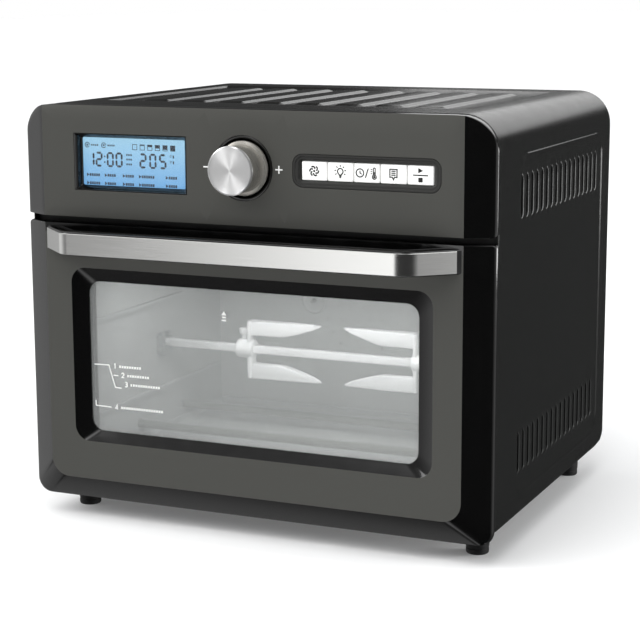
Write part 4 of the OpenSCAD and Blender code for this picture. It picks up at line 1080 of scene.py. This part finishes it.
# Inner panel and seal: enamelled steel, and a woven glass-fibre and silicone gasket.
finish(stoved_black, "door_inner_panel", edge=0.4)
seal_silicone = grained("heat_proof_silicone", 0.8, 0.05, roughness=(0.6, 0.8), shades=("#2c2c2b", "#3b3b39"))
seal_low, seal_high = box_mm("door_seal")
seal_z = middle_mm("door_seal")[2]
seal_w, seal_h = seal_high[0] - seal_low[0], seal_high[2] - seal_low[2]
seal_outer = [(seal_w, seal_h, 14, seal_low[1]), (seal_w, seal_h, 14, seal_low[1] + 1.6),
              (seal_w - 1.6, seal_h - 1.6, 13.4, seal_high[1] - 0.8),
              (seal_w - 4.4, seal_h - 4.4, 12.4, seal_high[1])]
seal_inner = [(seal_w - 7.6, seal_h - 7.6, 11.2, seal_high[1]),
              (seal_w - 10.4, seal_h - 10.4, 9.8, seal_high[1] - 0.8),
              (seal_w - 12, seal_h - 12, 9, seal_low[1] + 1.6), (seal_w - 12, seal_h - 12, 9, seal_low[1])]
add_piece("door_gasket", framed(seal_outer, seal_inner, (0, seal_z), per_corner=8), [seal_silicone], "door",
          ["door_seal"])


# Handle: a polished black bar that bends back to the door at both ends, faced with one strip of brushed
# stainless steel that follows its front and wraps both bends.
strip_low, strip_high = box_mm("handle_strip")
bar_low, bar_high = box_mm("handle_bar")
strip_h = strip_high[2] - strip_low[2]
strip_z = middle_mm("handle_strip")[2]
reach_y = strip_low[1]
bend_x, end_x = 141.0, half_w - 21.5
facet = np.array([end_x - bend_x, face_y - reach_y])
facet_length = np.linalg.norm(facet)
facet /= facet_length


def rounded_path(corners, radii, per_bend=16):
    """A path of straight lines with each inner corner replaced by an arc that touches both lines."""
    corners = np.asarray(corners, float)
    path = [corners[:1]]
    for before, corner, after, radius in zip(corners, corners[1:], corners[2:], radii):
        into = (corner - before) / np.linalg.norm(corner - before)
        out = (after - corner) / np.linalg.norm(after - corner)
        bend = math.acos(np.clip(np.dot(into, out), -1, 1))
        start = corner - into * radius * math.tan(bend / 2)
        side = out - into * np.dot(into, out)
        side /= np.linalg.norm(side)
        angles = np.linspace(0, bend, per_bend)[:, None]
        path.append(start + radius * (np.sin(angles) * into + (1 - np.cos(angles)) * side))
    path.append(corners[-1:])
    return np.concatenate(path)


strip_end = np.array([bend_x, reach_y]) + facet * (facet_length - 5)
strip_path = rounded_path([(-strip_end[0], strip_end[1]), (-bend_x, reach_y), (bend_x, reach_y), strip_end],
                          (14, 26))
along = np.gradient(strip_path, axis=0)
along /= np.linalg.norm(along, axis=1, keepdims=True)
strip_inner = strip_path + np.stack([-along[:, 1], along[:, 0]], -1)
level = 0.5 - 0.28 / strip_h
strip_section = [(0.28, -0.5), (0, -level), (0, level), (0.28, 0.5), (1, 0.5), (1, -0.5)]


def carried(near, far, centre_z, height, section):
    """A solid carried along a path: each section point lies a share of the way from the near path to the
    far one, and a share of the height up from the centre."""
    rings = [np.column_stack([near + (far - near) * share, np.full(len(near), centre_z + rise * height)])
             for share, rise in section]
    return loft(np.array(rings).transpose(1, 0, 2))


# Brushed stainless steel: long straight scratches along the strip, which smear light up and down. They
# are drawn about 0.4 mm apart so that they show.
brushed, tree, shader = new_material("brushed_stainless_steel", Metallic=1.0)
place = add_node(tree, "TexCoord")
drawn = add_node(tree, "Mapping", {"Vector": place.outputs["Object"], "Scale": (0.01, 0.03, 1)})
scratches = add_node(tree, "TexNoise", {"Vector": drawn.outputs[0], "Scale": 1000 / 0.4, "Detail": 4.0})
bump = add_node(tree, "Bump", {"Height": scratches.outputs[0], "Distance": 0.00002, "Strength": 0.25})
tree.links.new(bump.outputs[0], shader.inputs["Normal"])
spread = add_node(tree, "MapRange", {0: scratches.outputs[0], 1: 0.3, 2: 0.7, 3: 0.17, 4: 0.24})
tree.links.new(spread.outputs[0], shader.inputs["Roughness"])
tone = add_node(tree, "Mix", {0: scratches.outputs[0], 6: colour("#cfcfcd"), 7: colour("#e4e4e2")},
                data_type="RGBA")
tree.links.new(tone.outputs[2], shader.inputs["Base Color"])
add_piece("handle_facing", carried(strip_path, strip_inner, strip_z, strip_h, strip_section), [brushed],
          "door", ["handle_strip"])

front_path = rounded_path([(-end_x + 1.4, face_y), (-bend_x + 0.4, reach_y + 1.02),
                           (bend_x - 0.4, reach_y + 1.02), (end_x - 1.4, face_y)], (13, 25))
back_path = rounded_path([(-end_x + 18.5, face_y), (-bend_x + 8, reach_y + 12), (bend_x - 8, reach_y + 12),
                          (end_x - 18.5, face_y)], (6, 14))
bar_h = bar_high[2] - bar_low[2]
bar_z = middle_mm("handle_bar")[2]
bar_section = [(0.16, -0.5), (0.05, -0.47), (0, -0.42), (0, 0.42), (0.05, 0.47), (0.16, 0.5), (0.8, 0.5),
               (0.94, 0.46), (1, 0.38), (1, -0.38), (0.94, -0.46), (0.8, -0.5)]
shells = [carried(front_path, back_path, bar_z, bar_h, bar_section)]
stud_turn = [(1.6, face_y - 3), (2, face_y - 2.6), (2, face_y + 5.6), (1.6, face_y + 6)]
shells += [turned(stud_turn, (x, strip_z), "y", around=24) for x in (-157, 157)]
add_piece("handle_moulding", merged(shells), [gloss_black_and_painted_shade], "door", ["handle_bar"], sharp=50)
